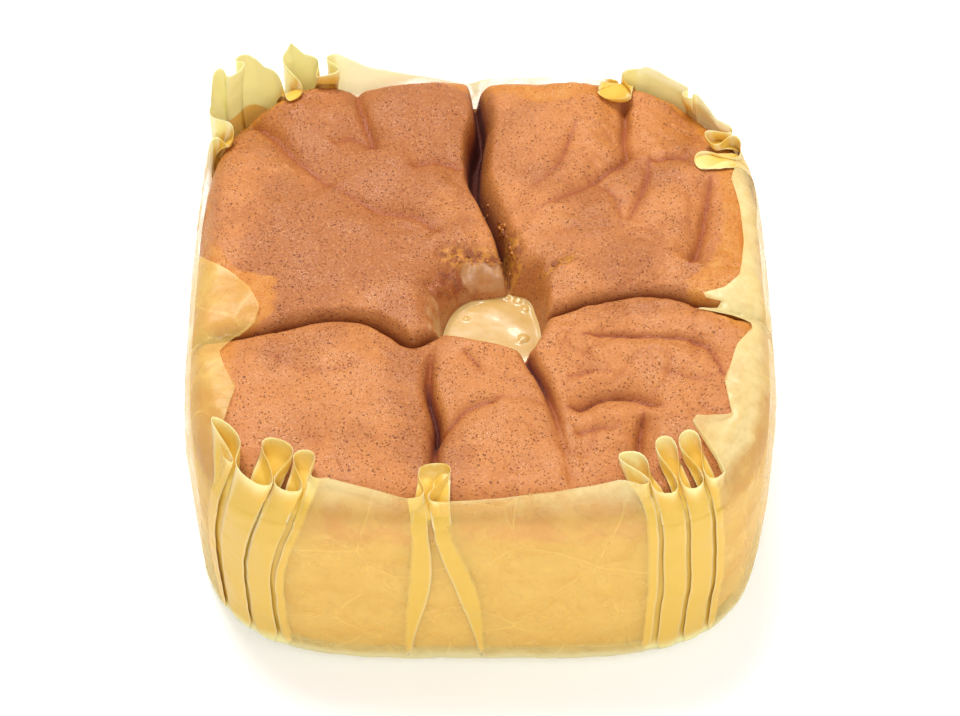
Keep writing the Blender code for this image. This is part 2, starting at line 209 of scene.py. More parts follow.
WRINKLES = (
    Cut(((28.5, 50), (28.8, 43), (28.2, 36), (28.4, 31), (23.6, 26), (17, 20), (10, 15)),
        (2.6, 2.8, 2.6, 2.2, 1.6, 1.0, 0.4), 4.2, (0.1,)),
    Cut(((32.8, 29.5), (32.2, 24), (30.2, 18), (28, 12)), (0.9, 1.5, 1.2, 0.5), 3.4, (0.1,)),
    Cut(((44.6, 24), (43.2, 16), (41.8, 9), (39.4, 1.5)), (0.8, 2.0, 2.6, 2.6), 3.0, (0.1,)),
    Cut(((19, 39), (17, 33), (14.5, 27), (9, 21)), (0.5, 1.0, 0.8, 0.3), 3.6, (0.1,)),
    Cut(((33, 29), (38, 31), (44, 31.5)), (1.0, 1.0, 0.4), 3.4, (0.1,)),
    Cut(((20, 26), (26, 19), (27, 9)), (0.5, 0.9, 0.4), 4.0, (0.0,)),
    Cut(((12.5, 0.2), (14.5, 1.6), (17.5, 1.9)), (0.8, 1.0, 0.5), 1.0, (0.2,)),
    Cut(((19, -16), (24.6, -15.3), (30.6, -15.5), (37.2, -16), (42, -18), (44.3, -25)),
        (1.0, 1.8, 1.6, 1.4, 1.6, 1.2), 2.6, (0.1,)),
    Cut(((16, -32), (18.6, -30.8), (22, -29.3), (26.5, -28.7), (30, -30), (33, -32)),
        (1.2, 2.2, 2.6, 2.8, 1.8, 0.8), 2.4, (0.2,)),
    Cut(((29.6, -33), (28.8, -37), (28.4, -42), (28, -50)), (1.6, 2.8, 2.4, 1.6), 2.6, (0.1,)),
    Cut(((17, -37.5), (21, -36), (25, -36.2)), (0.8, 1.2, 0.6), 2.2, (0.1,)),
    Cut(((16, -25), (20, -24), (24, -24.6)), (0.6, 0.9, 0.4), 2.4, (0.1,)),
    Cut(((33, -24), (39, -25.5), (43, -25)), (0.5, 0.8, 0.4), 3.2, (0.0,)),
    Cut(((-47, 44), (-41, 38), (-35, 29), (-27, 20)), (3.0, 2.6, 1.6, 0.8), 8.0, (0.0,)),
    Cut(((-25, 56), (-24, 46), (-21.5, 37), (-20, 31)), (2.4, 2.4, 2.2, 1.0), 5.0, (0.0,)),
    Cut(((-29, 33), (-25, 36), (-20, 33)), (0.6, 1.2, 0.6), 3.4, (0.0,)),
    Cut(((-14, 27), (-8, 29.5), (-3, 28)), (0.8, 1.2, 1.2), 4.0, (0.0,)),
    Cut(((-28, 22), (-20, 16), (-12, 14), (-7, 9)), (0.7, 1.2, 1.2, 0.8), 6.0, (0.0,)),
    Cut(((-9, -37.6), (-5.5, -35), (-2, -31.6), (4, -29.8)), (1.8, 1.6, 1.4, 0.8), 2.6, (0.0,)),
    Cut(((-3, -19), (-0.5, -22), (0, -24)), (0.8, 1.0, 0.5), 2.0, (0.0,)),
    Cut(((-38, -21), (-30, -25), (-22, -23)), (0.5, 0.6, 0.5), 7.0, (0.0,)),
)
SWELLS = (
    Swell(-41, 16, 14, 1.4), Swell(-31, 40, 10, 1.2), Swell(-9, 42, 9, 1.6), Swell(-13, 21, 9, 0.8),
    Swell(-30, 4, 12, 0.8), Swell(16, 38, 12, 1.2), Swell(36, 24, 10, 0.7), Swell(22, 8, 11, 0.9),
    Swell(-27, -27, 13, 1.2), Swell(2, -24, 7, -0.8), Swell(5, -36, 8, 0.4), Swell(33, -22, 8, 0.7),
    Swell(22, -41, 8, -0.6), Swell(20, -20, 7, 0.5), Swell(14, 14, 8, 0.4), Swell(43, 42, 9, -4.5),
)
# The pool's edge in plan, and the reach of the shoulders above it at eight points from +X towards +Y.
POOL_EDGE = (
    (12, -8), (11.2, -3.6), (9.6, 0.8), (6.6, 2.6), (2.2, 2.0), (-1.6, 1.0), (-4.8, -1.4), (-6.6, -5),
    (-7.4, -9), (-6.4, -13), (-2, -14.8), (3.5, -16), (8.8, -17.2), (11.2, -13),
)
POOL_SHOULDER = (3.2, 5.0, 9.0, 11.0, 8.0, 3.4, 2.6, 2.6)
# How wide the uncovered golden edge is, in millimetres, at places round the case in hundredths.
GOLD_EDGE = (
    (1, 0), (12, 0), (14, 1), (19, 6), (21, 6), (22, 14), (24, 16), (25.5, 11), (27, 9), (29, 7.6), (31, 7.6),
    (33, 8), (34, 6), (36, 6), (38, 4), (41, 3), (43, 7.5), (46, 10), (48, 6.5), (49.6, 5.5), (50.6, 6), (52, 4.6),
    (56, 3.4), (59, 1.6), (61, 4.5), (62.5, 2.6), (65, 2), (70, 2.6), (73, 3.2), (75, 8), (76, 16), (78.6, 16),
    (80, 9), (82, 8.5), (84, 7), (85.6, 4.4), (86.8, 5), (87.8, 1), (91, 0.4), (91.8, 3.6), (92.6, 0.4),
    (96, 0.4), (96.9, 4.6), (97.8, 0.4),
)
EDGE_ROUND = 5.2 * MM  # at the back, and half as much again along the front
CROWN_FALL = 3.2 * MM  # how much lower the crown is along the front


# %% How far the crust drops at a line
def smooth_line(points, steps=6):
    """A Catmull-Rom curve through points in plan."""
    p = np.array(points, float)
    p = np.vstack([2 * p[0] - p[1], p, 2 * p[-1] - p[-2]])
    made = []
    for before, start, end, after in zip(p, p[1:], p[2:], p[3:]):
        for t in np.arange(steps) / steps:
            made.append(
                0.5 * (2 * start + (end - before) * t
                       + (2 * before - 5 * start + 4 * end - after) * t**2
                       + (3 * start - before - 3 * end + after) * t**3)
            )
    return np.array(made + [p[-2]])


def nearest_on_line(x, y, line):
    """For each point: how far the line is, how far along it the nearest place lies, and if it is on its left."""
    best = np.full(np.shape(x), np.inf)
    along = np.zeros(np.shape(x))
    on_left = np.zeros(np.shape(x), bool)
    spans = len(line) - 1
    for i in range(spans):
        ax, ay = line[i]
        dx, dy = line[i + 1] - line[i]
        t = np.clip(((x - ax) * dx + (y - ay) * dy) / (dx * dx + dy * dy), 0, 1)
        away = np.hypot(x - ax - t * dx, y - ay - t * dy)
        nearer = away < best
        best, along = np.where(nearer, away, best), np.where(nearer, (i + t) / spans, along)
        on_left = np.where(nearer, dx * (y - ay) > dy * (x - ax), on_left)
    return best, along, on_left


def spread_along(values, along):
    return np.interp(along, np.linspace(0, 1, len(values)), values)


def tear_drop(x, y, cut):
    """A steep round shoulder at the line, and a long gentle slope towards it."""
    away, along, on_left = nearest_on_line(x / MM, y / MM, smooth_line(cut.line))
    depth = spread_along(cut.depths, along)
    past = away - spread_along(cut.gaps, along) / 2
    width = cut.width * np.where(on_left, cut.left, cut.right)
    gentle = np.clip(1 - past / 12, 0, 1) ** 2 * np.minimum(depth / 8, 1) * 1.9
    return (depth * shoulder_drop(past / width) + gentle) * MM


def wrinkle_drop(x, y, cut):
    """A crisp fold in a broad dip, dying out at both of its ends."""
    away, along, _ = nearest_on_line(x / MM, y / MM, smooth_line(cut.line))
    depth = spread_along(cut.depths, along) * smoothstep(along / 0.12) * smoothstep((1 - along) / 0.12)
    past = away - spread_along(cut.gaps, along) / 2
    dip = np.clip(1 - past / (2 * cut.width), 0, 1) ** 2
    return depth * (1.0 * dip + 0.8 * shoulder_drop(past / (0.4 * cut.width))) * MM


def round_the_pool(x, y, values):
    """A value given at eight directions from the pool's middle, at each point's own direction."""
    turn = np.mod(np.arctan2(y - POOL_MIDDLE[1], x - POOL_MIDDLE[0]) / (2 * math.pi), 1) * len(values)
    return np.interp(turn, np.arange(len(values) + 1), list(values) + [values[0]])


def pool_reach(x, y):
    """How far the pool's edge is from its middle, in each point's direction."""
    edge = smooth_line(POOL_EDGE + POOL_EDGE[:1]) * MM - POOL_MIDDLE
    angles = np.arctan2(edge[:, 1], edge[:, 0])
    angle = np.arctan2(y - POOL_MIDDLE[1], x - POOL_MIDDLE[0])
    return np.interp(angle, angles, np.hypot(edge[:, 0], edge[:, 1]), period=2 * math.pi)


def beyond_pool(x, y):
    return np.hypot(x - POOL_MIDDLE[0], y - POOL_MIDDLE[1]) - pool_reach(x, y)


def line_nearness(x, y, cuts, reach, full):
    """1 on the lines where they are at least full deep, falling to 0 at the reach from them, in millimetres."""
    nearness = np.zeros(np.shape(x))
    for cut in cuts:
        away, along, _ = nearest_on_line(x / MM, y / MM, smooth_line(cut.line))
        past = np.maximum(away - spread_along(cut.gaps, along) / 2, 0)
        deep = np.minimum(spread_along(cut.depths, along) / full, 1)
        nearness = np.maximum(nearness, smoothstep(1 - past / reach) * deep)
    return nearness


def crust_form(x, y):
    """The crust's height at each point in plan, before any unevenness."""
    rise = CROWN - SHOULDER
    frontness = smoothstep((-y / HALF - 0.1) / 0.9)
    inside = edge_distance(x, y, half_side(SHOULDER) - LAYERS)
    rim = rise * shoulder_drop(inside / (EDGE_ROUND * (1 + 0.5 * frontness)))
    tears = np.max([tear_drop(x, y, cut) for cut in TEARS], axis=0)
    past_pool = beyond_pool(x, y) + 0.5 * MM
    hollow = 13 * MM * shoulder_drop(past_pool / (round_the_pool(x, y, POOL_SHOULDER) * MM))
    tears = np.cbrt(tears**3 + hollow**3)
    swell = sum(
        s.height * MM * np.exp(-((x / MM - s.x) ** 2 + (y / MM - s.y) ** 2) / s.reach**2) for s in SWELLS
    )
    wrinkles = sum(wrinkle_drop(x, y, cut) for cut in WRINKLES)
    drop = np.cbrt(rim**3 + tears**3) + (wrinkles + CROWN_FALL * frontness - swell) * (1 - rim / rise)
    return np.maximum(CROWN - drop, SHOULDER - 1.5 * MM)


# %% [markdown]
# A baked crust is never as smooth as a formula. Layers of noise push the surface up and down: slow swells,
# lumps about 7 mm across, and a finer leather. Noise has places where it crosses zero, and those make
# winding lines, so they are pressed in as fine wrinkles, mostly on the two right-hand pillows. Behind the
# pool the crust is torn, and its crumb stands up in flakes.

# %% Unevenness
def rolling_plan(x, y, size, seed):
    return rolling(np.stack([x.ravel(), y.ravel(), np.zeros(x.size)], 1), size, seed).reshape(x.shape)


def ragged_patch(x, y, lines, reach, seed):
    """1 near some lines in plan, falling to 0 at about the reach, with a torn edge."""
    away = np.min([nearest_on_line(x / MM, y / MM, smooth_line(line))[0] for line in lines], axis=0)
    torn = rolling_plan(x, y, 4 * MM, seed) * 0.35 + rolling_plan(x, y, 1.3 * MM, seed + 1) * 0.3
    return smoothstep((1 - away / reach + torn) / 0.35)


def winding_lines(x, y, size, seed):
    """Thin winding lines, 1 on the line, broken up by a second noise."""
    line = smoothstep(1 - np.abs(rolling_plan(x, y, size, seed)) / 0.09)
    return line * smoothstep((rolling_plan(x, y, 1.4 * size, seed + 5) + 0.25) / 0.4)


TORN_LINES = (((-6, 4.4), (-2.5, 4.8), (1, 5.0), (4, 5.6)), ((6.4, 4.6), (6.2, 7), (5.6, 9.5)))
WET_LINES = (((-8.8, -2.4), (-7.4, -0.6), (-5.2, 0.8), (-3.4, 1.7)),)
SCAR_LINES = (((12.3, 0.1), (14.5, 1.5), (17.2, 1.9)),)
FILM_LINES = (((-8.3, -14), (-8.7, -9), (-8.9, -5.4)), ((-2.4, 2.9), (1, 3.2), (4.6, 3.2)))


def leathery(x, y):
    """How wrinkled the crust is: a little on the left pillows, fully on the right ones."""
    return 0.3 + 0.7 * smoothstep((x / MM - 4 - 0.2 * y / MM) / 14)


def crust_relief(x, y):
    """How far the unevenness lifts each point of the crust."""
    leather = leathery(x, y)
    inside = edge_distance(x, y, half_side(SHOULDER) - LAYERS)
    lines = winding_lines(x, y, 10 * MM, 40) + 0.6 * winding_lines(x, y, 5 * MM, 50)
    lift = rolling_plan(x, y, 16 * MM, 1) * 0.7
    lift += rolling_plan(x, y, 8 * MM, 3) * 0.65
    lift += rolling_plan(x, y, 3.4 * MM, 7) * 0.30 * (0.4 + leather)
    lift += rolling_plan(x, y, 1.6 * MM, 11) * 0.13 * (0.4 + leather)
    lift -= lines * leather * 0.34
    lift *= 1 - 0.5 * ragged_patch(x, y, FILM_LINES, 2.2, 80)
    torn = ragged_patch(x, y, TORN_LINES + WET_LINES, 2.6, 60)
    lift += torn * (rolling_plan(x, y, 1.7 * MM, 13) * 0.8 - 0.3)
    return lift * MM * (0.25 + 0.75 * smoothstep(inside / (4 * MM)))


# %% [markdown]
# The height is wanted tens of thousands of times, by the crust and later by the paper that lies on it, so it
# is worked out once on a fine table and read from there. The table is blurred by a fraction of a millimetre,
# as dough has no edge sharper than that.

# %% A table of the crust's height
TABLE_STEP = 0.35 * MM
TABLE_SIDE = 2 * math.ceil(HALF / TABLE_STEP) + 1
TABLE_AT = (np.arange(TABLE_SIDE) - TABLE_SIDE // 2) * TABLE_STEP
TABLE_X, TABLE_Y = np.meshgrid(TABLE_AT, TABLE_AT)


def softened(table):
    for axis in (0, 1):
        around = np.roll(table, 1, axis) + np.roll(table, -1, axis)
        table = table / 2 + around / 4
    return table


HEIGHT_TABLE = softened(crust_form(TABLE_X, TABLE_Y)) + crust_relief(TABLE_X, TABLE_Y)


def crust_height(x, y):
    """The crust's height, read between the points of the table."""
    u = np.clip(x / TABLE_STEP + TABLE_SIDE // 2, 0, TABLE_SIDE - 1.001)
    v = np.clip(y / TABLE_STEP + TABLE_SIDE // 2, 0, TABLE_SIDE - 1.001)
    i, j = u.astype(int), v.astype(int)
    s, t = u - i, v - j
    near = HEIGHT_TABLE[j, i] * (1 - s) + HEIGHT_TABLE[j, i + 1] * s
    far = HEIGHT_TABLE[j + 1, i] * (1 - s) + HEIGHT_TABLE[j + 1, i + 1] * s
    return near * (1 - t) + far * t


print("table", TABLE_SIDE, "squared, from", round(HEIGHT_TABLE.min() / MM, 1), "to", round(HEIGHT_TABLE.max() / MM, 1))

# %% [markdown]
# ## Modelling the sponge
#
# The top starts as a flat grid, because a grid's even squares keep small pores and wrinkles equally sharp
# everywhere. Its lines are then drawn closer together round the tears, where the crust is steepest. The
# grid's border is extruded down, ring by ring, into the pale side of the cake, and a face closes the base.

# %% The sponge's mesh
TOP_LINES = 270
SIDE_HEIGHTS = [h * MM for h in (38.5, 37, 35, 33, 31, 28, 25, 22, 19, 16, 13, 10, 8, 6, 4.5, 3.2, 2.2, 1.5, 1.1)]
BASE_LIFT = 0.9 * MM


def crowded_near(t, place, reach):
    """Moves evenly spaced values of -1..1 so that they crowd round a place and at both ends."""
    fine = np.linspace(-1, 1, 801)
    crowd = 1 + 1.3 * np.exp(-(((fine - place) / reach) ** 2)) + 1.0 * smoothstep((np.abs(fine) - 0.8) / 0.2)
    count = np.concatenate([[0], np.cumsum((crowd[1:] + crowd[:-1]) / 2)])
    return np.interp((t + 1) / 2 * count[-1], count, fine)


def make_sponge():
    deselect_all()
    bpy.ops.mesh.primitive_grid_add(x_subdivisions=TOP_LINES, y_subdivisions=TOP_LINES, size=2)
    sponge = bpy.context.object
    flat = points_of(sponge)
    u, v = crowded_near(flat[:, 0], 0.06, 0.26), crowded_near(flat[:, 1], -0.14, 0.22)
    x, y = square_to_plan(u, v, half_side(SHOULDER) - LAYERS)
    border = np.maximum(np.abs(u), np.abs(v)) > 0.99999
    height = np.where(border, SHOULDER, np.maximum(crust_height(x, y), SHOULDER - 1.5 * MM))
    move_points(sponge, np.stack([x, y, height], 1))
    key = {i: (u[i], v[i]) for i in np.nonzero(border)[0]}

    for level in SIDE_HEIGHTS:
        known = len(sponge.data.vertices)
        last = list(key)
        bpy.ops.object.mode_set(mode="EDIT")
        bpy.ops.mesh.select_all(action="DESELECT")
        bpy.ops.object.mode_set(mode="OBJECT")
        chosen = np.zeros(known, bool)
        chosen[last] = True
        sponge.data.vertices.foreach_set("select", chosen)
        ends = np.zeros(len(sponge.data.edges) * 2, int)
        sponge.data.edges.foreach_get("vertices", ends)
        ends = ends.reshape(-1, 2)
        on_ring = chosen[ends].all(1)
        sponge.data.edges.foreach_set("select", on_ring)
        bpy.ops.object.mode_set(mode="EDIT")
        bpy.ops.mesh.select_mode(type="EDGE")
        bpy.ops.mesh.extrude_edges_move(TRANSFORM_OT_translate={"value": (0, 0, -1 * MM)})
        bpy.ops.object.mode_set(mode="OBJECT")
        ends = np.zeros(len(sponge.data.edges) * 2, int)
        sponge.data.edges.foreach_get("vertices", ends)
        ends = ends.reshape(-1, 2)
        rungs = ends[(ends.min(1) < known) & (ends.max(1) >= known)]
        key = {int(max(pair)): key[int(min(pair))] for pair in rungs}
        ring_u, ring_v = np.array(list(key.values())).T
        half = half_side(level, SPONGE_FOOT) - LAYERS
        ring_x, ring_y = square_to_plan(ring_u, ring_v, half)
        places = points_of(sponge)
        places[list(key)] = np.stack([ring_x, ring_y, np.full(len(key), max(level, BASE_LIFT))], 1)
        move_points(sponge, places)

    bpy.ops.object.mode_set(mode="EDIT")
    bpy.ops.mesh.edge_face_add()
    bpy.ops.mesh.select_all(action="SELECT")
    bpy.ops.mesh.normals_make_consistent(inside=False)
    bpy.ops.object.mode_set(mode="OBJECT")
    return sponge


sponge = make_sponge()
print("sponge vertices", len(sponge.data.vertices))

# %% What the crust's material needs to know
def mark_crust(sponge):
    places = points_of(sponge)
    x, y = places[:, 0], places[:, 1]
    inside = edge_distance(x, y, half_side(SHOULDER) - LAYERS)
    past_pool = beyond_pool(x, y)
    on_top = smoothstep((places[:, 2] - SHOULDER + 1 * MM) / (4 * MM))
    golden = np.interp(station_of(x, y), *zip(*GOLD_EDGE), period=100) * MM
    lines = winding_lines(x, y, 10 * MM, 40) + 0.6 * winding_lines(x, y, 5 * MM, 50)
    # The wrinkle mask darkens the fold lines in the material: painted shade in their valleys.
    folds = line_nearness(x, y, WRINKLES, 0.55, 1.2) + 0.25 * line_nearness(x, y, WRINKLES, 2.0, 1.8)
    folds += 0.3 * lines * leathery(x, y)
    inner = smoothstep((inside - 0.5 * MM) / (1.5 * MM))
    by_pool = smoothstep((past_pool - 0.4 * MM) / (1.2 * MM))
    ring = (1 - smoothstep(past_pool / (0.9 * MM))) * (1 - 0.9 * smoothstep((x - 3 * MM) / (4 * MM)))
    film = 0.85 * ragged_patch(x, y, FILM_LINES, 1.7, 80) + 0.7 * ring
    # The crease mask carries painted shade into the tears' colour, and makes them rougher.
    note(sponge, "crease", line_nearness(x, y, TEARS, 1.5, 5.0) * inner * by_pool)
    note(sponge, "wrinkle", np.clip(folds, 0, 1) * on_top)
    note(sponge, "rim", np.clip(0.5 + (golden - inside) / (6 * MM), 0, 1) * (golden > 0.5 * MM))
    note(sponge, "torn", np.maximum(ragged_patch(x, y, TORN_LINES, 2.0, 60), ragged_patch(x, y, SCAR_LINES, 0.8, 70)))
    note(sponge, "wet", ragged_patch(x, y, WET_LINES, 1.9, 90))
    # Darker on the back left pillow and a little on the front left one, partly the oven's deeper browning and partly
    # painted shade; lighter at the far left, a painted highlight.
    by_back, by_left = smoothstep((y + 15 * MM) / (7 * MM)), smoothstep((2 * MM - x) / (6 * MM))
    by_left = by_left * (1 - 0.8 * smoothstep((-36 * MM - x) / (12 * MM)))
    note(sponge, "browning_and_painted_shade", by_back * (0.45 + 0.7 * by_left) + 0.4 * (1 - by_back) * by_left)
    note(sponge, "film", np.clip(film, 0, 1) * on_top)


mark_crust(sponge)
sponge.data.shade_smooth()
print("marked", [kept.name for kept in sponge.data.attributes if kept.data_type == "FLOAT"])


# %% [markdown]
# ## Writing materials
#
# Every finish here is a tree of nodes that reads the object's own coordinates, so patterns have real sizes:
# a texture's scale is one over the size of its cells in metres. A few helpers keep the trees readable.
# Each returns the socket that carries its result.

# %% Helpers for node trees
def new_material(name):
    made = bpy.data.materials.new(name)
    made.use_nodes = True
    return made, made.node_tree, made.node_tree.nodes["Principled BSDF"]


def feed(tree, value, socket):
    """Connects a socket, or sets a plain number or colour."""
    if isinstance(value, bpy.types.NodeSocket):
        tree.links.new(value, socket)
    else:
        socket.default_value = value


def object_place(tree):
    return tree.nodes.new("ShaderNodeTexCoord").outputs["Object"]


def noted(tree, name):
    made = tree.nodes.new("ShaderNodeAttribute")
    made.attribute_name = name
    return made.outputs["Fac"]


def lumps(tree, place, size, detail=2.0, rough=0.5):
    made = tree.nodes.new("ShaderNodeTexNoise")
    feed(tree, place, made.inputs["Vector"])
    feed(tree, 1 / size, made.inputs["Scale"])
    feed(tree, detail, made.inputs["Detail"])
    feed(tree, rough, made.inputs["Roughness"])
    return made.outputs["Fac"]


def wandering(tree, place, size, reach):
    """The place, pushed about by noise, so that a pattern read there loses its regular outlines."""
    made = tree.nodes.new("ShaderNodeTexNoise")
    feed(tree, place, made.inputs["Vector"])
    feed(tree, 1 / size, made.inputs["Scale"])
    shift = tree.nodes.new("ShaderNodeVectorMath")
    shift.operation = "MULTIPLY_ADD"
    feed(tree, made.outputs["Color"], shift.inputs[0])
    feed(tree, (reach, reach, reach), shift.inputs[1])
    feed(tree, place, shift.inputs[2])
    return shift.outputs["Vector"]


def cells(tree, place, size, feature="F1"):
    made = tree.nodes.new("ShaderNodeTexVoronoi")
    made.feature = feature
    feed(tree, place, made.inputs["Vector"])
    feed(tree, 1 / size, made.inputs["Scale"])
    return made


def ramp(tree, value, low, high, to_low=0.0, to_high=1.0):
    made = tree.nodes.new("ShaderNodeMapRange")
    made.interpolation_type = "SMOOTHSTEP"
    feed(tree, value, made.inputs["Value"])
    for name, number in (("From Min", low), ("From Max", high), ("To Min", to_low), ("To Max", to_high)):
        feed(tree, number, made.inputs[name])
    return made.outputs["Result"]


def maths(tree, operation, first, second=0.0):
    made = tree.nodes.new("ShaderNodeMath")
    made.operation = operation
    feed(tree, first, made.inputs[0])
    feed(tree, second, made.inputs[1])
    return made.outputs["Value"]


def blend(tree, share, first, second, kind="MIX"):
    made = tree.nodes.new("ShaderNodeMix")
    made.data_type = "RGBA"
    made.blend_type = kind
    feed(tree, share, made.inputs["Factor"])
    feed(tree, first, made.inputs["A"])
    feed(tree, second, made.inputs["B"])
    return made.outputs["Result"]


def bump(tree, height, depth, strength=1.0, onto=None):
    made = tree.nodes.new("ShaderNodeBump")
    feed(tree, height, made.inputs["Height"])
    feed(tree, depth, made.inputs["Distance"])
    feed(tree, strength, made.inputs["Strength"])
    if onto is not None:
        feed(tree, onto, made.inputs["Normal"])
    return made.outputs["Normal"]


# %% [markdown]
# ## The crust's finish
#
# From near to far the crust shows: burst bubbles, dark pin holes a third of a millimetre wide; a sandy grain
# between them, with tiny glints; patches a centimetre wide where the oven browned it more, darker on the back
# left pillow and a little on the front left one, partly deeper browning and partly painted shade, and lighter
# at the far left, a painted highlight; a darker, redder brown in the wrinkles and tears, painted shade over the
# crust's own redder brown; and a golden edge, where steam under the paper kept it pale. Down the side the brown
# gives way to yellow sponge. Round the pool it is torn to golden crumb and wet with custard. Each of these is
# one mask, laid over the last, so that each can be judged by itself.

# %% The crust's colours
CRUST_LIGHT = (0.475, 0.164, 0.034, 1)
CRUST_DARK = (0.345, 0.102, 0.017, 1)
CRUST_GRAIN = (0.72, 0.32, 0.095, 1)
PORE_BROWN = (0.14, 0.024, 0.005, 1)
# Darker red brown: the grain's darker specks, and painted shade in the wrinkles and at the sides of the tears, over the
# crust's own redder brown.
FOLD_SHADE_AND_GRAIN_BROWN = (0.29, 0.058, 0.009, 1)
# Near-black maroon at the bottom of the tears: painted shade over the crust's own redder brown.
CREASE_SHADOW_BROWN = (0.110, 0.014, 0.005, 1)
TORN_GOLD = (0.50, 0.190, 0.020, 1)
TORN_BROWN = (0.27, 0.070, 0.012, 1)
FILM_CREAM = (0.50, 0.27, 0.12, 1)
WET_BROWN = (0.24, 0.050, 0.010, 1)
GOLD = (0.49, 0.162, 0.014, 1)
FRONT_BROWN = (0.66, 0.27, 0.09, 1)
PALE_GOLD = (0.58, 0.27, 0.05, 1)
SPONGE_YELLOW = (0.75, 0.48, 0.12, 1)
SPONGE_DEEP = (0.74, 0.41, 0.06, 1)


# %% The crust's material
def crust_material():
    made, tree, shader = new_material("crust")
    place = object_place(tree)
    axes = tree.nodes.new("ShaderNodeSeparateXYZ")
    feed(tree, place, axes.inputs["Vector"])
    height = axes.outputs["Z"]

    # The patches darken by the mark set in mark_crust: partly deeper browning, partly painted shade, with a painted
    # highlight at the far left.
    patches = lumps(tree, place, 15 * MM, 3)
    patches = maths(tree, "SUBTRACT", patches, maths(tree, "MULTIPLY", noted(tree, "browning_and_painted_shade"), 0.32))
    patches = ramp(tree, patches, 0.20, 0.46)
    colour = blend(tree, patches, CRUST_DARK, CRUST_LIGHT)
    grain = lumps(tree, place, 0.50 * MM, 4, 0.85)
    colour = blend(tree, ramp(tree, grain, 0.50, 0.68, 0.0, 0.5), colour, CRUST_GRAIN)
    colour = blend(tree, ramp(tree, grain, 0.34, 0.47, 0.35, 0.0), colour, FOLD_SHADE_AND_GRAIN_BROWN)

    crooked = wandering(tree, place, 0.5 * MM, 0.35 * MM)
    big, small = cells(tree, crooked, 1.15 * MM), cells(tree, crooked, 0.58 * MM)
    size = maths(tree, "MULTIPLY", big.outputs["Color"], 0.17)
    pores = ramp(tree, maths(tree, "SUBTRACT", big.outputs["Distance"], size), 0.0, 0.08, 1.0, 0.0)
    pores = maths(tree, "MULTIPLY", pores, ramp(tree, lumps(tree, place, 4.5 * MM), 0.38, 0.54, 0.3, 1.0))
    pricks = ramp(tree, small.outputs["Distance"], 0.10, 0.30, 0.85, 0.0)
    pricks = maths(tree, "MULTIPLY", pricks, ramp(tree, lumps(tree, place, 2.6 * MM), 0.36, 0.54))
    holes = maths(tree, "MAXIMUM", pores, pricks)
    colour = blend(tree, maths(tree, "MULTIPLY", holes, 0.75), colour, PORE_BROWN)
    # Painted shade along the wrinkles' fold lines.
    colour = blend(tree, maths(tree, "MULTIPLY", noted(tree, "wrinkle"), 0.9), colour, FOLD_SHADE_AND_GRAIN_BROWN)

    ragged = maths(tree, "SUBTRACT", lumps(tree, place, 2.4 * MM, 4, 0.75), 0.5)
    rim = maths(tree, "ADD", noted(tree, "rim"), maths(tree, "MULTIPLY", ragged, 0.7))
    gold = blend(tree, ramp(tree, lumps(tree, place, 3 * MM, 3, 0.6), 0.42, 0.70, 0.0, 0.5), GOLD, PALE_GOLD)
    colour = blend(tree, ramp(tree, rim, 0.36, 0.64), colour, gold)
    browned = maths(tree, "ADD", height, maths(tree, "MULTIPLY", ragged, 12 * MM))
    crumb = blend(tree, ramp(tree, lumps(tree, place, 9 * MM, 3), 0.34, 0.68), SPONGE_YELLOW, SPONGE_DEEP)
    front = ramp(tree, axes.outputs["Y"], -HALF, -0.7 * HALF, 1.0, 0.0)
    under = maths(tree, "MULTIPLY", ramp(tree, height, 41 * MM, 44 * MM, 1.0, 0.0), front)
    colour = blend(tree, under, colour, FRONT_BROWN)
    colour = blend(tree, ramp(tree, browned, 35.5 * MM, 40 * MM, 1.0, 0.0), colour, crumb)

    # Painted shade in the tears: a darker red brown along their sides and near-black maroon at the bottom, over the
    # crust's own redder brown.
    crease = noted(tree, "crease")
    colour = blend(tree, ramp(tree, crease, 0.10, 0.75, 0.0, 0.9), colour, FOLD_SHADE_AND_GRAIN_BROWN)
    colour = blend(tree, ramp(tree, crease, 0.70, 0.97), colour, CREASE_SHADOW_BROWN)

    crumbly = ramp(tree, lumps(tree, place, 1.3 * MM, 3, 0.65), 0.38, 0.60)
    colour = blend(tree, noted(tree, "torn"), colour, blend(tree, crumbly, TORN_BROWN, TORN_GOLD))
    soaked = ramp(tree, lumps(tree, place, 1.6 * MM, 4, 0.7), 0.38, 0.56, 0.95, 0.25)
    colour = blend(tree, maths(tree, "MULTIPLY", noted(tree, "wet"), soaked), colour, WET_BROWN)
    film = noted(tree, "film")
    milky = ramp(tree, lumps(tree, place, 4 * MM, 3), 0.38, 0.60, 0.2, 0.85)
    colour = blend(tree, maths(tree, "MULTIPLY", film, milky), colour, FILM_CREAM)
    feed(tree, colour, shader.inputs["Base Color"])

    shiny = ramp(tree, lumps(tree, place, 9 * MM, 2), 0.44, 0.60, 0.68, 0.44)
    glints = maths(tree, "SUBTRACT", shiny, ramp(tree, lumps(tree, place, 0.4 * MM, 2, 0.6), 0.48, 0.60, 0.0, 0.32))
    wetness = maths(tree, "MAXIMUM", film, noted(tree, "wet"))
    glints = maths(tree, "ADD", glints, maths(tree, "MULTIPLY", crease, 0.3))
    feed(tree, ramp(tree, wetness, 0.2, 0.8, glints, 0.24), shader.inputs["Roughness"])
    shader.inputs["Specular IOR Level"].default_value = 0.5
    relief = maths(tree, "SUBTRACT", maths(tree, "MULTIPLY", grain, 0.7), holes)
    relief = maths(tree, "MULTIPLY", relief, ramp(tree, film, 0.2, 0.8, 1.0, 0.15))
    feed(tree, bump(tree, relief, 0.24 * MM, 0.9), shader.inputs["Normal"])
    return made


sponge.data.materials.append(crust_material())
finish_piece(sponge, "split_sponge", "sponge")


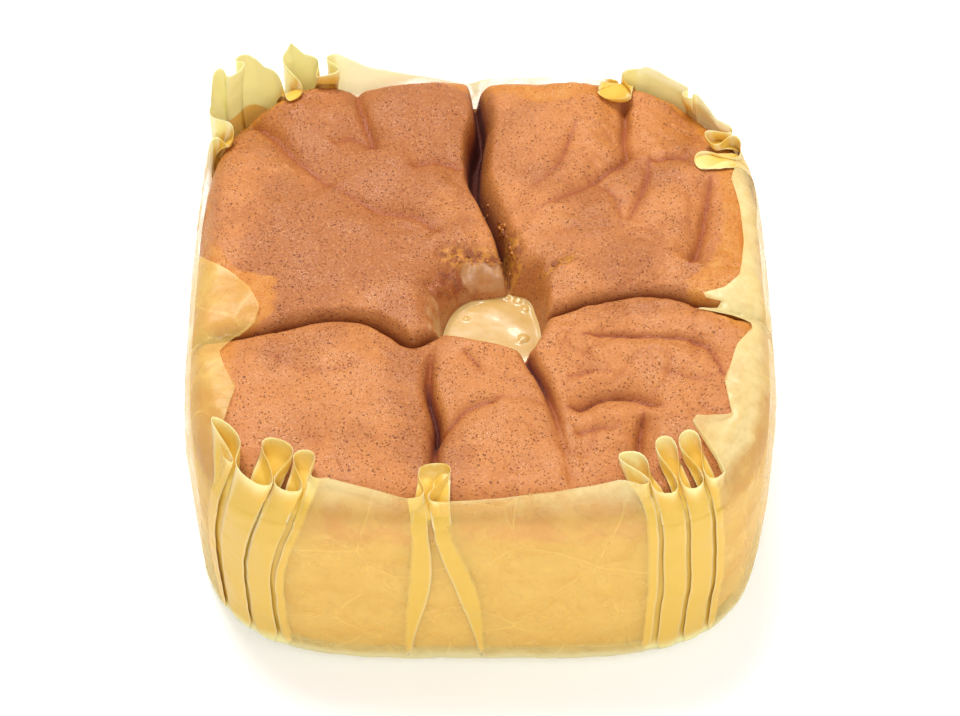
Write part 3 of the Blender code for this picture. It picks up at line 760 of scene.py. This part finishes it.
# %% [markdown]
# ## The custard
#
# The custard is a thick liquid in a hollow, so nearly all of it is hidden and only its skin matters: level,
# with a lip where it clings to the crumb, a few slow waves from the oven, and small drops that catch the
# light. A ball pressed out to the pool's edge gives a closed body with the right skin, and the same edge
# shapes the hollow in the crust.

# %% The custard's mesh
CUSTARD_LEVEL = 40.4 * MM
CUSTARD_DEPTH = 12.0 * MM
DROPS = ((7.2, 1.2, 0.9), (8.6, -0.9, 0.8), (-2.6, -3.4, 0.6), (8.2, -8.4, 1.0), (7.4, -9.2, 0.6), (5.2, 1.9, 0.5))


def make_custard():
    deselect_all()
    bpy.ops.mesh.primitive_uv_sphere_add(segments=160, ring_count=96, radius=1)
    custard = bpy.context.object
    unit = points_of(custard)
    x, y = POOL_MIDDLE[0] + unit[:, 0] * MM, POOL_MIDDLE[1] + unit[:, 1] * MM
    reach = pool_reach(x, y) * 1.07
    places = np.zeros_like(unit)
    places[:, 0] = POOL_MIDDLE[0] + unit[:, 0] * reach
    places[:, 1] = POOL_MIDDLE[1] + unit[:, 1] * reach
    across = np.hypot(unit[:, 0], unit[:, 1])
    lip = 0.7 * MM * smoothstep((across - 0.80) / 0.14) * (0.5 + rolling(places, 6 * MM, 23))
    skin = rolling(places, 5 * MM, 21) * 0.30 * MM + 0.25 * MM * (1 - across**2) + lip
    for x, y, size in DROPS:
        away = np.hypot(places[:, 0] / MM - x, places[:, 1] / MM - y) / size
        skin += 0.45 * size * MM * np.sqrt(np.clip(1 - away**2, 0, 1))
    low = unit[:, 2] * CUSTARD_DEPTH
    places[:, 2] = CUSTARD_LEVEL + np.where(unit[:, 2] > 0, skin, low)
    move_points(custard, places)
    custard.data.shade_smooth()
    return custard


custard = make_custard()


# %% The custard's material
def custard_material():
    made, tree, shader = new_material("custard")
    place = object_place(tree)
    cloudy = ramp(tree, lumps(tree, place, 6 * MM, 2), 0.35, 0.65)
    colour = blend(tree, cloudy, (0.53, 0.325, 0.090, 1), (0.58, 0.375, 0.125, 1))
    feed(tree, colour, shader.inputs["Base Color"])
    shader.inputs["Roughness"].default_value = 0.34
    shader.inputs["Subsurface Weight"].default_value = 0.3
    shader.inputs["Subsurface Radius"].default_value = (1.0, 0.6, 0.25)
    shader.inputs["Subsurface Scale"].default_value = 2.0 * MM
    shader.inputs["Coat Weight"].default_value = 0.3
    shader.inputs["Coat Roughness"].default_value = 0.04
    feed(tree, bump(tree, lumps(tree, place, 2.5 * MM, 1), 0.20 * MM, 0.5), shader.inputs["Normal"])
    return made


custard.data.materials.append(custard_material())
finish_piece(custard, "custard_pool", "custard")

# %% [markdown]
# ## Crumbs
#
# Where the crust tore, crumbs lie along the tear. Each is a small ball, knocked out of shape by noise. All of
# them are joined into one piece, because dozens of separate specks would only be in the way in a library.

# %% The crumbs' mesh
Strew = namedtuple("Strew", "line spread count small large")
STREWN = (
    Strew(((-5.5, 4.4), (-2, 4.8), (1.5, 5.0), (4, 5.8)), 1.4, 12, 0.22, 0.45),
    Strew(((6.6, 4.5), (6.4, 8), (5.4, 12), (4.0, 15.5)), 0.8, 12, 0.30, 0.70),
    Strew(((2.2, 20), (0.2, 25)), 0.5, 5, 0.25, 0.45),
    Strew(((14, 1.4), (16.5, 1.8)), 0.5, 4, 0.18, 0.30),
)


def make_crumbs():
    dice = np.random.default_rng(7)
    grains = []
    for strew in STREWN:
        line = smooth_line(strew.line)
        for _ in range(strew.count):
            x, y = line[dice.integers(len(line))] + dice.normal(0, strew.spread / 2, 2)
            size = dice.uniform(strew.small, strew.large)
            if beyond_pool(x * MM, y * MM) < 0.8 * MM:
                continue
            ground = float(crust_height(np.array([x * MM]), np.array([y * MM]))[0])
            deselect_all()
            bpy.ops.mesh.primitive_ico_sphere_add(subdivisions=2, radius=size * MM, location=(0, 0, 0))
            grain = bpy.context.object
            shape = points_of(grain)
            shape *= 1 + 0.45 * rolling(shape, 0.7 * size * MM, len(grains))[:, None]
            shape *= dice.uniform(0.5, 1.2, 3)
            move_points(grain, shape + [x * MM, y * MM, ground - 0.35 * size * MM])
            grains.append(grain)
    deselect_all()
    for grain in grains:
        grain.select_set(True)
    bpy.context.view_layer.objects.active = grains[0]
    bpy.ops.object.join()
    crumbs = bpy.context.object
    crumbs.data.shade_smooth()
    return crumbs


def crumb_material():
    made, tree, shader = new_material("torn_crumb")
    place = object_place(tree)
    tone = ramp(tree, lumps(tree, place, 1.6 * MM, 2), 0.42, 0.58)
    feed(tree, blend(tree, tone, (0.17, 0.034, 0.006, 1), (0.44, 0.15, 0.018, 1)), shader.inputs["Base Color"])
    shader.inputs["Roughness"].default_value = 0.38
    feed(tree, bump(tree, lumps(tree, place, 0.4 * MM, 2), 0.12 * MM, 0.8), shader.inputs["Normal"])
    return made


crumbs = make_crumbs()
crumbs.data.materials.append(crumb_material())
crumbs.name = crumbs.data.name = "crumbs"
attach(crumbs, "root")
print("crumbs faces", len(crumbs.data.polygons))


# %% [markdown]
# ## The paper case
#
# A baking case starts as a flat square of paper that is pressed up round a block. The sides stay plain and
# the spare paper at the corners has nowhere to go but into pleats. Where the cake fills the case, a pleat
# lies flat: the sheet runs past its fold, doubles back, and doubles forward again, three layers in a sliver
# of space. Above the cake nothing holds it shut, and it opens into a loop like the Greek letter omega.
#
# One formula has both. Across a pleat let q go from -1 to 1. The sheet moves sideways by w q + b sin(2 pi q):
# while b is small it just runs on, and when b is large it turns back on itself. And it moves inward by
# (1 + cos(pi q)) / 2, a fraction of a millimetre where it is pressed and several where it is open. The
# sheet is a grid, wrapped round, with close columns across the pleats. Between the pleats the rim wanders:
# here it stands up, there it has sunk in over the crust, and there it lies on it.

# %% The pleats' places and sizes
Pleat = namedtuple("Pleat", "at low rim tip neck_low neck_rim drift rise")

# at is the way round the case from the middle of its front, anticlockwise seen from above, in hundredths;
# low and rim are half the pleat's width near the base and at the rim, and tip is where the loop's tip lies
# from its neck, in plan, in millimetres; the necks say how far the sheet doubles back near the base and at
# the rim, as shares of the width; drift is how far the pleat leans sideways on its way down, in hundredths,
# and rise how much higher the rim is on the loop, in millimetres.
PLEATS = (
    Pleat(97.4, 14.0, 3.2, (2.4, 6.2), 0.22, 0.60, 0.9, 2.0),
    Pleat(8.2, 3.2, 2.8, (-4.8, 6.6), 0.50, 0.60, 0.3, 3.0),
    Pleat(9.5, 3.0, 2.3, (-3.4, 8.6), 0.55, 0.56, 0.4, 4.4),
    Pleat(10.8, 3.0, 2.3, (-3.6, 8.0), 0.55, 0.60, 0.5, 4.4),
    Pleat(32.6, 3.0, 2.8, (-8.0, -1.0), 0.55, 0.62, -0.3, 0.8),
    Pleat(34.4, 3.0, 2.6, (-6.0, -2.5), 0.60, 0.55, -0.2, 0.8),
    Pleat(38.6, 3.0, 2.0, (-1.0, -1.6), 0.60, 0.30, 0.2, 0.4),
    Pleat(42.6, 3.0, 3.6, (-2.0, -7.0), 0.55, 0.66, 0.3, 1.0),
    Pleat(58.2, 3.0, 3.2, (1.5, -3.4), 0.55, 0.46, -0.3, 0.5),
    Pleat(60.5, 3.0, 2.6, (3.4, -4.4), 0.60, 0.40, -0.2, -1.5),
    Pleat(63.0, 3.0, 3.8, (2.6, -2.0), 0.60, 0.30, 0.0, -1.6),
    Pleat(65.7, 3.0, 3.0, (3.6, -1.6), 0.60, 0.40, 0.2, -0.5),
    Pleat(88.2, 3.2, 4.2, (-3.2, 8.0), 0.50, 0.52, -1.4, 4.0),
    Pleat(90.3, 3.0, 3.2, (0.6, 8.4), 0.60, 0.68, -1.7, 3.4),
    Pleat(91.9, 2.8, 2.4, (-0.8, 6.2), 0.60, 0.50, -1.8, 3.0),
)

# %% The rim's way round
RimPoint = namedtuple("RimPoint", "at inward height")

# How far in the rim leans and how high it stands, in millimetres.
RIM = (
    RimPoint(0.9, 2.0, 48.4), RimPoint(2.4, 2.6, 48.7), RimPoint(3.5, 3.0, 49.0), RimPoint(5.0, 3.6, 49.3),
    RimPoint(6.6, 4.4, 49.8), RimPoint(7.4, 3.6, 49.4), RimPoint(8.2, 1.4, 48.4), RimPoint(9.5, 1.0, 48.0),
    RimPoint(10.8, 1.0, 48.0), RimPoint(11.9, 1.4, 48.4), RimPoint(12.3, 7.0, 50.6), RimPoint(12.6, 11.6, 51.8),
    RimPoint(13.4, 11.8, 52.0), RimPoint(14.6, 9.4, 50.8), RimPoint(15.4, 6.8, 49.6), RimPoint(16.0, 7.6, 50.0),
    RimPoint(17.6, 9.4, 50.4), RimPoint(20.2, 7.5, 50.4), RimPoint(21.2, 4.4, 50.8), RimPoint(21.7, 4.8, 50.2),
    RimPoint(22.1, 7.0, 49.4), RimPoint(22.4, 14.6, 49.4), RimPoint(22.7, 10.2, 48.8), RimPoint(23.0, 9.8, 49.4),
    RimPoint(23.3, 15.2, 50.6), RimPoint(23.7, 9.2, 50.4), RimPoint(24.5, 6.2, 50.2), RimPoint(27.1, 4.9, 50.0),
    RimPoint(29.1, 5.2, 50.0), RimPoint(31.2, 6.0, 50.2), RimPoint(32.9, 3.0, 51.2), RimPoint(34.4, 1.5, 52.0),
    RimPoint(36.0, 3.6, 51.4), RimPoint(37.6, 2.6, 51.6), RimPoint(39.6, 0.6, 51.4), RimPoint(41.4, -0.4, 52.6),
    RimPoint(42.6, 1.0, 50.4), RimPoint(44.0, 1.5, 49.6), RimPoint(46.0, 1.0, 49.4), RimPoint(48.0, 0.8, 48.8),
    RimPoint(49.5, 0.8, 48.6), RimPoint(50.6, 1.2, 47.4), RimPoint(52.0, 0.8, 48.4), RimPoint(54.0, 0.4, 49.8),
    RimPoint(55.8, 0.0, 51.4), RimPoint(57.4, -1.4, 54.4), RimPoint(58.5, 0.6, 53.6), RimPoint(59.6, -3.0, 58.0),
    RimPoint(60.7, 1.2, 52.6), RimPoint(61.6, -2.6, 58.4), RimPoint(62.8, -4.0, 61.0), RimPoint(63.9, -3.0, 60.4),
    RimPoint(64.9, -1.6, 56.0), RimPoint(66.0, 0.6, 52.0), RimPoint(67.6, 0.4, 50.0), RimPoint(70.0, 1.1, 49.0),
    RimPoint(71.7, 0.6, 48.6), RimPoint(73.6, 1.4, 48.6), RimPoint(74.6, 3.6, 49.4), RimPoint(75.4, 8.6, 50.2),
    RimPoint(76.3, 12.0, 50.6), RimPoint(77.4, 14.0, 50.8), RimPoint(78.4, 13.2, 50.6), RimPoint(79.2, 9.6, 50.0),
    RimPoint(80.2, 6.8, 49.6), RimPoint(81.4, 8.0, 49.8), RimPoint(82.8, 9.4, 50.2), RimPoint(84.2, 7.4, 49.8),
    RimPoint(85.8, 3.8, 49.0), RimPoint(87.0, 2.0, 48.6), RimPoint(88.3, 1.4, 48.4), RimPoint(90.3, 1.0, 48.2),
    RimPoint(91.8, 1.8, 48.6), RimPoint(92.6, 4.8, 49.8), RimPoint(93.8, 4.2, 49.4), RimPoint(95.3, 3.2, 48.8),
    RimPoint(96.5, 2.2, 48.2), RimPoint(98.4, 1.6, 47.8), RimPoint(99.4, 1.7, 48.1),
)


def along_the_rim(station, values):
    return np.interp(station, [point.at for point in RIM], values, period=100)


# %% Sizes of the sheet
PLEAT_COLUMNS = 25
PANEL_STEP = 1.0 * MM
PRESSED = 0.62 * MM  # how far in the third layer of a pressed pleat lies
CLEAR_OF_CRUST = 0.45 * MM
WALL_HEIGHTS = np.concatenate([
    (1 - np.cos(np.linspace(0, math.pi / 2, 7))) * FOOT_ROUND / CASE_HEIGHT,
    np.linspace(FOOT_ROUND / CASE_HEIGHT, 0.72, 24)[1:],
    np.linspace(0.72, 1.0, 27)[1:],
])


# %% Where each column of the sheet runs
def pleat_spans(share):
    """The middles and half widths of the pleats at a share of the height, in hundredths, never overlapping."""
    down = math.sin(min(max((0.98 - share) / 0.6, 0), 1) * math.pi / 2)
    middle = np.array([p.at + p.drift * down for p in PLEATS])
    wide = np.array([in_hundredths(p.low + (p.rim - p.low) * smoothstep(share)) for p in PLEATS])
    order = np.argsort(np.mod(middle, 100))
    room = np.full(len(PLEATS), np.inf)
    for i, j in zip(order, np.roll(order, -1)):
        gap = np.mod(middle[j] - middle[i], 100)
        fit = min(1.0, 0.97 * gap / (wide[i] + wide[j]))
        room[i], room[j] = min(room[i], wide[i] * fit), min(room[j], wide[j] * fit)
    return middle, np.minimum(wide, room), order


def room_beside(middle, wide):
    """The plain stretch before and after each pleat, in hundredths."""
    order = np.argsort(np.mod(middle, 100))
    following, leading = np.roll(order, -1), np.roll(order, 1)
    before, after = np.zeros(len(order)), np.zeros(len(order))
    after[order] = np.mod(middle[following] - wide[following] - middle[order] - wide[order], 100)
    before[order] = np.mod(middle[order] - wide[order] - middle[leading] - wide[leading], 100)
    return before, after


def sheet_columns():
    """For each column: the pleat it belongs to, or the one before its panel, and its place there."""
    middle, wide, order = pleat_spans(1.0)
    columns = []
    for i, j in zip(order, np.roll(order, -1)):
        count = PLEAT_COLUMNS if PLEATS[i].low < 6 else 4 * PLEAT_COLUMNS
        columns += [(i, -1, q) for q in np.linspace(-1, 1, count)[:-1]]
        plain = np.mod(middle[j] - wide[j] - middle[i] - wide[i], 100) / 100 * AROUND
        steps = max(1, round(plain / PANEL_STEP))
        columns += [(i, j, t) for t in np.arange(steps) / steps]
    pleat, following, place = zip(*columns)
    return np.array(pleat), np.array(following), np.array(place)


COLUMNS = sheet_columns()
print("columns", len(COLUMNS[0]), "rows", len(WALL_HEIGHTS))


def folds_of(q, neck, wide):
    """For a pressed pleat: 1 where its sheet lies over itself, and 1 along the lines where it turns back."""
    swing = 2 * math.pi * np.maximum(neck, 0.16)
    turn = np.arccos(-1 / np.maximum(swing, 1.0001)) / (2 * math.pi)
    outer, inner = (t + neck * np.sin(2 * math.pi * t) for t in (turn, 1 - turn))
    here = np.abs(q + neck * np.sin(2 * math.pi * q))
    inner = np.where(wide > 4 * MM, inner, -1)
    within = np.minimum(here - inner, outer - here) * wide
    soft = np.where(wide > 4 * MM, 1.1 * MM, 0.5 * MM)
    doubled = smoothstep(within / soft + 0.4) * smoothstep((neck - 0.16) / 0.04)
    edges = np.minimum(np.abs(np.abs(q) - turn), np.abs(np.abs(q) - 1 + turn))
    return doubled, smoothstep(1 - edges / 0.09) * smoothstep((neck - 0.16) / 0.04)


# %% Where the sheet lies at one height
def sheet_row(share):
    """The sheet's points at a share of its height, and what its material needs to know about each."""
    pleat, following, place = COLUMNS
    middle, wide, _ = pleat_spans(share)
    folded = following < 0
    before, after = room_beside(middle, wide)
    plain_start = middle[pleat] + wide[pleat]
    plain_long = np.mod(middle[following] - wide[following] - plain_start, 100)
    q = np.where(folded, place, 1.0)
    station = np.where(folded, middle[pleat] + wide[pleat] * place, plain_start + plain_long * place)
    ux, uy = outline_at(station)
    nx, ny = np.sign(ux) * np.abs(ux) ** (SQUARENESS - 1), np.sign(uy) * np.abs(uy) ** (SQUARENESS - 1)
    nx, ny = nx / np.hypot(nx, ny), ny / np.hypot(nx, ny)
    bell = np.where(folded, (1 + np.cos(math.pi * q)) / 2, 0)

    tip = np.array([p.tip for p in PLEATS])[pleat] * MM
    rise = np.array([p.rise for p in PLEATS])[pleat] * MM
    low, rim = np.array([(p.neck_low, p.neck_rim) for p in PLEATS])[pleat].T
    neck = (low + (rim - low) * smoothstep(share / 0.9)) * smoothstep(share / 0.12)
    sideways = neck * wide[pleat] / 100 * AROUND * np.sin(2 * math.pi * q) * folded
    pressed = PRESSED * bell * smoothstep(share / 0.1)

    inward = along_the_rim(station, [point.inward for point in RIM]) * MM
    tall = along_the_rim(station, [point.height for point in RIM]) * MM
    top = tall + rise * bell
    z = CASE_HEIGHT * share + (top - CASE_HEIGHT) * smoothstep((share - 0.5) / 0.5) * share
    opened = smoothstep((share - 0.80) / 0.20)
    flared = np.minimum(inward, 0) * smoothstep((share - 0.6) / 0.4)
    half = half_side(np.minimum(z, CASE_HEIGHT))
    x = ux * half - nx * (pressed + flared) - ny * sideways
    y = uy * half - ny * (pressed + flared) + nx * sideways
    leaning = np.maximum(inward, 0)
    x = x + (tip[:, 0] * bell - nx * leaning) * opened
    y = y + (tip[:, 1] * bell - ny * leaning) * opened
    beside = ((0, 0), (0.9, 0), (-0.9, 0), (0, 0.9), (0, -0.9))
    ground = np.max([crust_height(x + a * MM, y + b * MM) for a, b in beside], axis=0) + CLEAR_OF_CRUST
    over_cake = share > SHOULDER / CASE_HEIGHT
    z = np.where(over_cake, np.maximum(z, ground), z)

    over = np.where(over_cake, z - ground, 0)
    free = np.maximum(smoothstep(over / (5 * MM)), 1 - smoothstep((z - 1 * MM) / (6 * MM)))
    oiled = smoothstep((station - 71) / 2) * smoothstep((86 - station) / 2)
    free = np.maximum(free, (0.55 - 0.4 * oiled) * smoothstep(leaning * opened / (4 * MM)))
    stack, fold = folds_of(q, neck, wide[pleat] / 100 * AROUND)
    crowded = smoothstep((1.6 - np.where(q < 0, before[pleat], after[pleat])) / 0.6) * smoothstep((neck - 0.16) / 0.04)
    stack, fold = np.maximum(stack * folded, crowded), fold * folded
    petal = np.maximum(smoothstep((station - 56.5) / 2) * smoothstep((67.5 - station) / 2),
                       0.85 * smoothstep((station - 31.5) / 2) * smoothstep((44.5 - station) / 2))
    petal = petal * smoothstep((share - 0.5) / 0.2)
    petal = petal * (1 - 0.65 * smoothstep((z - tall + 3.5 * MM) / (2.5 * MM)))
    return np.stack([x, y, z], 1), free, np.maximum(stack, 0.9 * petal), fold


# %% The case's mesh
def make_case():
    deselect_all()
    rows, around = len(WALL_HEIGHTS), len(COLUMNS[0])
    bpy.ops.mesh.primitive_grid_add(x_subdivisions=around, y_subdivisions=rows - 1, size=2)
    case = bpy.context.object
    flat = points_of(case)
    column = np.rint((flat[:, 0] + 1) / 2 * around).astype(int)
    row = np.rint((flat[:, 1] + 1) / 2 * (rows - 1)).astype(int)
    wrapped, loose, layers, folds = (np.array(part) for part in zip(*(sheet_row(share) for share in WALL_HEIGHTS)))
    places = wrapped[row, column % around]
    outward = places * [1, 1, 0] / np.maximum(np.hypot(places[:, 0], places[:, 1]), 1e-9)[:, None]
    creased = rolling(places, 9 * MM, 31) * 0.25 + np.abs(rolling(places, 5 * MM, 33)) * 0.35 - 0.05
    move_points(case, places + outward * creased[:, None] * MM)
    note(case, "free", loose[row, column % around])
    note(case, "stack", layers[row, column % around])
    note(case, "fold", folds[row, column % around])
    bpy.ops.object.mode_set(mode="EDIT")
    bpy.ops.mesh.select_all(action="SELECT")
    bpy.ops.mesh.remove_doubles(threshold=0.0005 * MM)
    bpy.ops.mesh.select_all(action="DESELECT")
    bpy.ops.object.mode_set(mode="OBJECT")
    low = points_of(case)[:, 2] < 0.01 * MM
    case.data.vertices.foreach_set("select", low)
    bpy.ops.object.mode_set(mode="EDIT")
    bpy.ops.mesh.select_mode(type="VERT")
    bpy.ops.mesh.edge_face_add()
    bpy.ops.mesh.select_all(action="SELECT")
    bpy.ops.mesh.normals_make_consistent(inside=False)
    bpy.ops.object.mode_set(mode="OBJECT")
    return case


case = make_case()
print("sheet faces", len(case.data.polygons), "box", [round(c / MM, 1) for c in points_of(case).max(0)])


# %% The paper's thickness
def thicken(case):
    bpy.context.view_layer.objects.active = case
    bpy.ops.object.modifier_add(type="SOLIDIFY")
    wall = case.modifiers[-1]
    wall.thickness = 0.06 * MM
    wall.offset = -1
    wall.material_offset = 1
    bpy.ops.object.modifier_apply(modifier=wall.name)
    case.data.shade_smooth()


thicken(case)

# %% [markdown]
# ## Greaseproof paper
#
# The paper is thin and pale yellow, and what you see is mostly what lies behind it: brown through one layer
# over the crust, gold through one layer over the sponge, and the paper's own lemon yellow only where several
# layers pile up in a pleat. So the material is part see-through and part a diffuse surface that also passes
# light on. Where the oily cake touches it, it is clearer; where it stands free it is milkier. A pile of
# layers would need a ray to pass them all, so the outermost one carries the look of the pile. The sheet's
# inner skin is nearly clear, as the outer one already does the work of both.

# %% The paper's material
PAPER_MILK = (0.94, 0.89, 0.53, 1)
PAPER_YELLOW = (0.91, 0.69, 0.20, 1)
PAPER_GOLD = (0.86, 0.575, 0.088, 1)
PAPER_LEMON = (0.96, 0.91, 0.45, 1)
# Near white for the pleats' fold lines: a painted highlight.
PAPER_FOLD_HIGHLIGHT = (0.98, 0.94, 0.68, 1)


def paper_material(name, least, most, pile):
    """One skin of the sheet. least, most and pile are how much it hides of what lies behind, touching, free and
    in a pile."""
    made, tree, shader = new_material(name)
    place = object_place(tree)
    stack, fold = noted(tree, "stack"), noted(tree, "fold")
    clouds = ramp(tree, lumps(tree, place, 9 * MM, 3, 0.5), 0.30, 0.72)
    facets = cells(tree, wandering(tree, place, 12 * MM, 3 * MM), 17 * MM, "DISTANCE_TO_EDGE").outputs["Distance"]
    veins = ramp(tree, facets, 0.0, 0.022, 1.0, 0.0)
    ragged = maths(tree, "SUBTRACT", lumps(tree, place, 4 * MM, 4, 0.6), 0.5)
    free = ramp(tree, maths(tree, "ADD", noted(tree, "free"), maths(tree, "MULTIPLY", ragged, 0.5)), 0.05, 0.95)
    colour = blend(tree, free, PAPER_YELLOW, PAPER_MILK)
    colour = blend(tree, stack, colour, blend(tree, free, PAPER_GOLD, PAPER_LEMON))
    # Painted highlight along the lines where the pleats turn back.
    colour = blend(tree, maths(tree, "MULTIPLY", fold, 0.7), colour, PAPER_FOLD_HIGHLIGHT)
    feed(tree, colour, shader.inputs["Base Color"])
    shader.inputs["Roughness"].default_value = 0.30
    shader.inputs["Specular IOR Level"].default_value = 0.5
    crinkle = lumps(tree, place, 6 * MM, 3, 0.5)
    folded = ramp(tree, facets, 0.0, 0.25, 1.0, 0.0)
    relief = bump(tree, maths(tree, "ADD", crinkle, maths(tree, "MULTIPLY", folded, 0.7)), 0.8 * MM, 0.6)
    feed(tree, relief, shader.inputs["Normal"])

    behind = tree.nodes.new("ShaderNodeBsdfTranslucent")
    feed(tree, colour, behind.inputs["Color"])
    feed(tree, relief, behind.inputs["Normal"])
    glow = tree.nodes.new("ShaderNodeMixShader")
    feed(tree, ramp(tree, stack, 0, 1, 0.35, 0.25), glow.inputs["Fac"])
    feed(tree, shader.outputs["BSDF"], glow.inputs[1])
    feed(tree, behind.outputs["BSDF"], glow.inputs[2])

    clear = tree.nodes.new("ShaderNodeBsdfTransparent")
    stuck = ramp(tree, clouds, 0, 1, least, least * 1.9)
    stuck = maths(tree, "ADD", stuck, maths(tree, "MULTIPLY", veins, 0.4 * least))
    cover = ramp(tree, free, 0, 1, stuck, most)
    cover = ramp(tree, stack, 0, 1, cover, ramp(tree, free, 0, 1, 0.95 * pile, pile))
    cover = maths(tree, "ADD", cover, maths(tree, "MULTIPLY", fold, 0.3 * least))
    sheet = tree.nodes.new("ShaderNodeMixShader")
    feed(tree, cover, sheet.inputs["Fac"])
    feed(tree, clear.outputs["BSDF"], sheet.inputs[1])
    feed(tree, glow.outputs["Shader"], sheet.inputs[2])
    feed(tree, sheet.outputs["Shader"], tree.nodes["Material Output"].inputs["Surface"])
    return made


case.data.materials.append(paper_material("greaseproof_paper", 0.22, 0.68, 0.93))
case.data.materials.append(paper_material("greaseproof_inside", 0.05, 0.12, 0.30))
finish_piece(case, "pleated_paper", "paper_case")


# %% [markdown]
# ## The studio
#
# A pale floor, a white surround for soft fill, one large soft light from behind and to the left that rakes
# over the pillows, and a weaker one in front so that the paper glows.

# %% Floor, lights and camera
def make_floor():
    deselect_all()
    bpy.ops.mesh.primitive_plane_add(size=6, location=(0, 0, 0))
    floor = bpy.context.object
    floor.name = "floor"
    finish, tree, shader = new_material("pale_floor")
    shader.inputs["Base Color"].default_value = (0.95, 0.95, 0.95, 1)
    shader.inputs["Emission Color"].default_value = (1, 1, 1, 1)
    shader.inputs["Emission Strength"].default_value = 0.12
    shader.inputs["Roughness"].default_value = 0.9
    floor.data.materials.append(finish)


def make_light(name, place, size, watts, aim=(0, 0, 0.03)):
    lamp = bpy.data.lights.new(name, "AREA")
    lamp.shape = "DISK"
    lamp.size = size
    lamp.energy = watts
    made = bpy.data.objects.new(name, lamp)
    bpy.context.scene.collection.objects.link(made)
    made.location = place
    made.rotation_euler = (Vector(aim) - Vector(place)).to_track_quat("-Z", "Y").to_euler()


def make_camera(elevation, distance, aim, lens):
    lens_data = bpy.data.cameras.new("camera")
    lens_data.lens = lens
    lens_data.sensor_width = 36
    made = bpy.data.objects.new("camera", lens_data)
    bpy.context.scene.collection.objects.link(made)
    tilt = math.radians(elevation)
    made.location = Vector(aim) + distance * Vector((0, -math.cos(tilt), math.sin(tilt)))
    made.rotation_euler = (math.pi / 2 - tilt, 0, 0)
    bpy.context.scene.camera = made


make_floor()
make_light("key", (-0.11, 0.30, 0.80), 0.40, 7.2)
make_light("side", (0.80, -0.10, 0.5), 0.6, 1.6)
make_light("fill", (0.10, -0.9, 0.6), 0.8, 4.7)
make_camera(49, 0.56, (0, 0.3 * MM, 25 * MM), 108)
world = bpy.data.worlds.new("studio")
world.use_nodes = True
world.node_tree.nodes["Background"].inputs["Color"].default_value = (1, 1, 1, 1)
world.node_tree.nodes["Background"].inputs["Strength"].default_value = 0.59
bpy.context.scene.world = world
bpy.context.scene.view_settings.view_transform = "Standard"
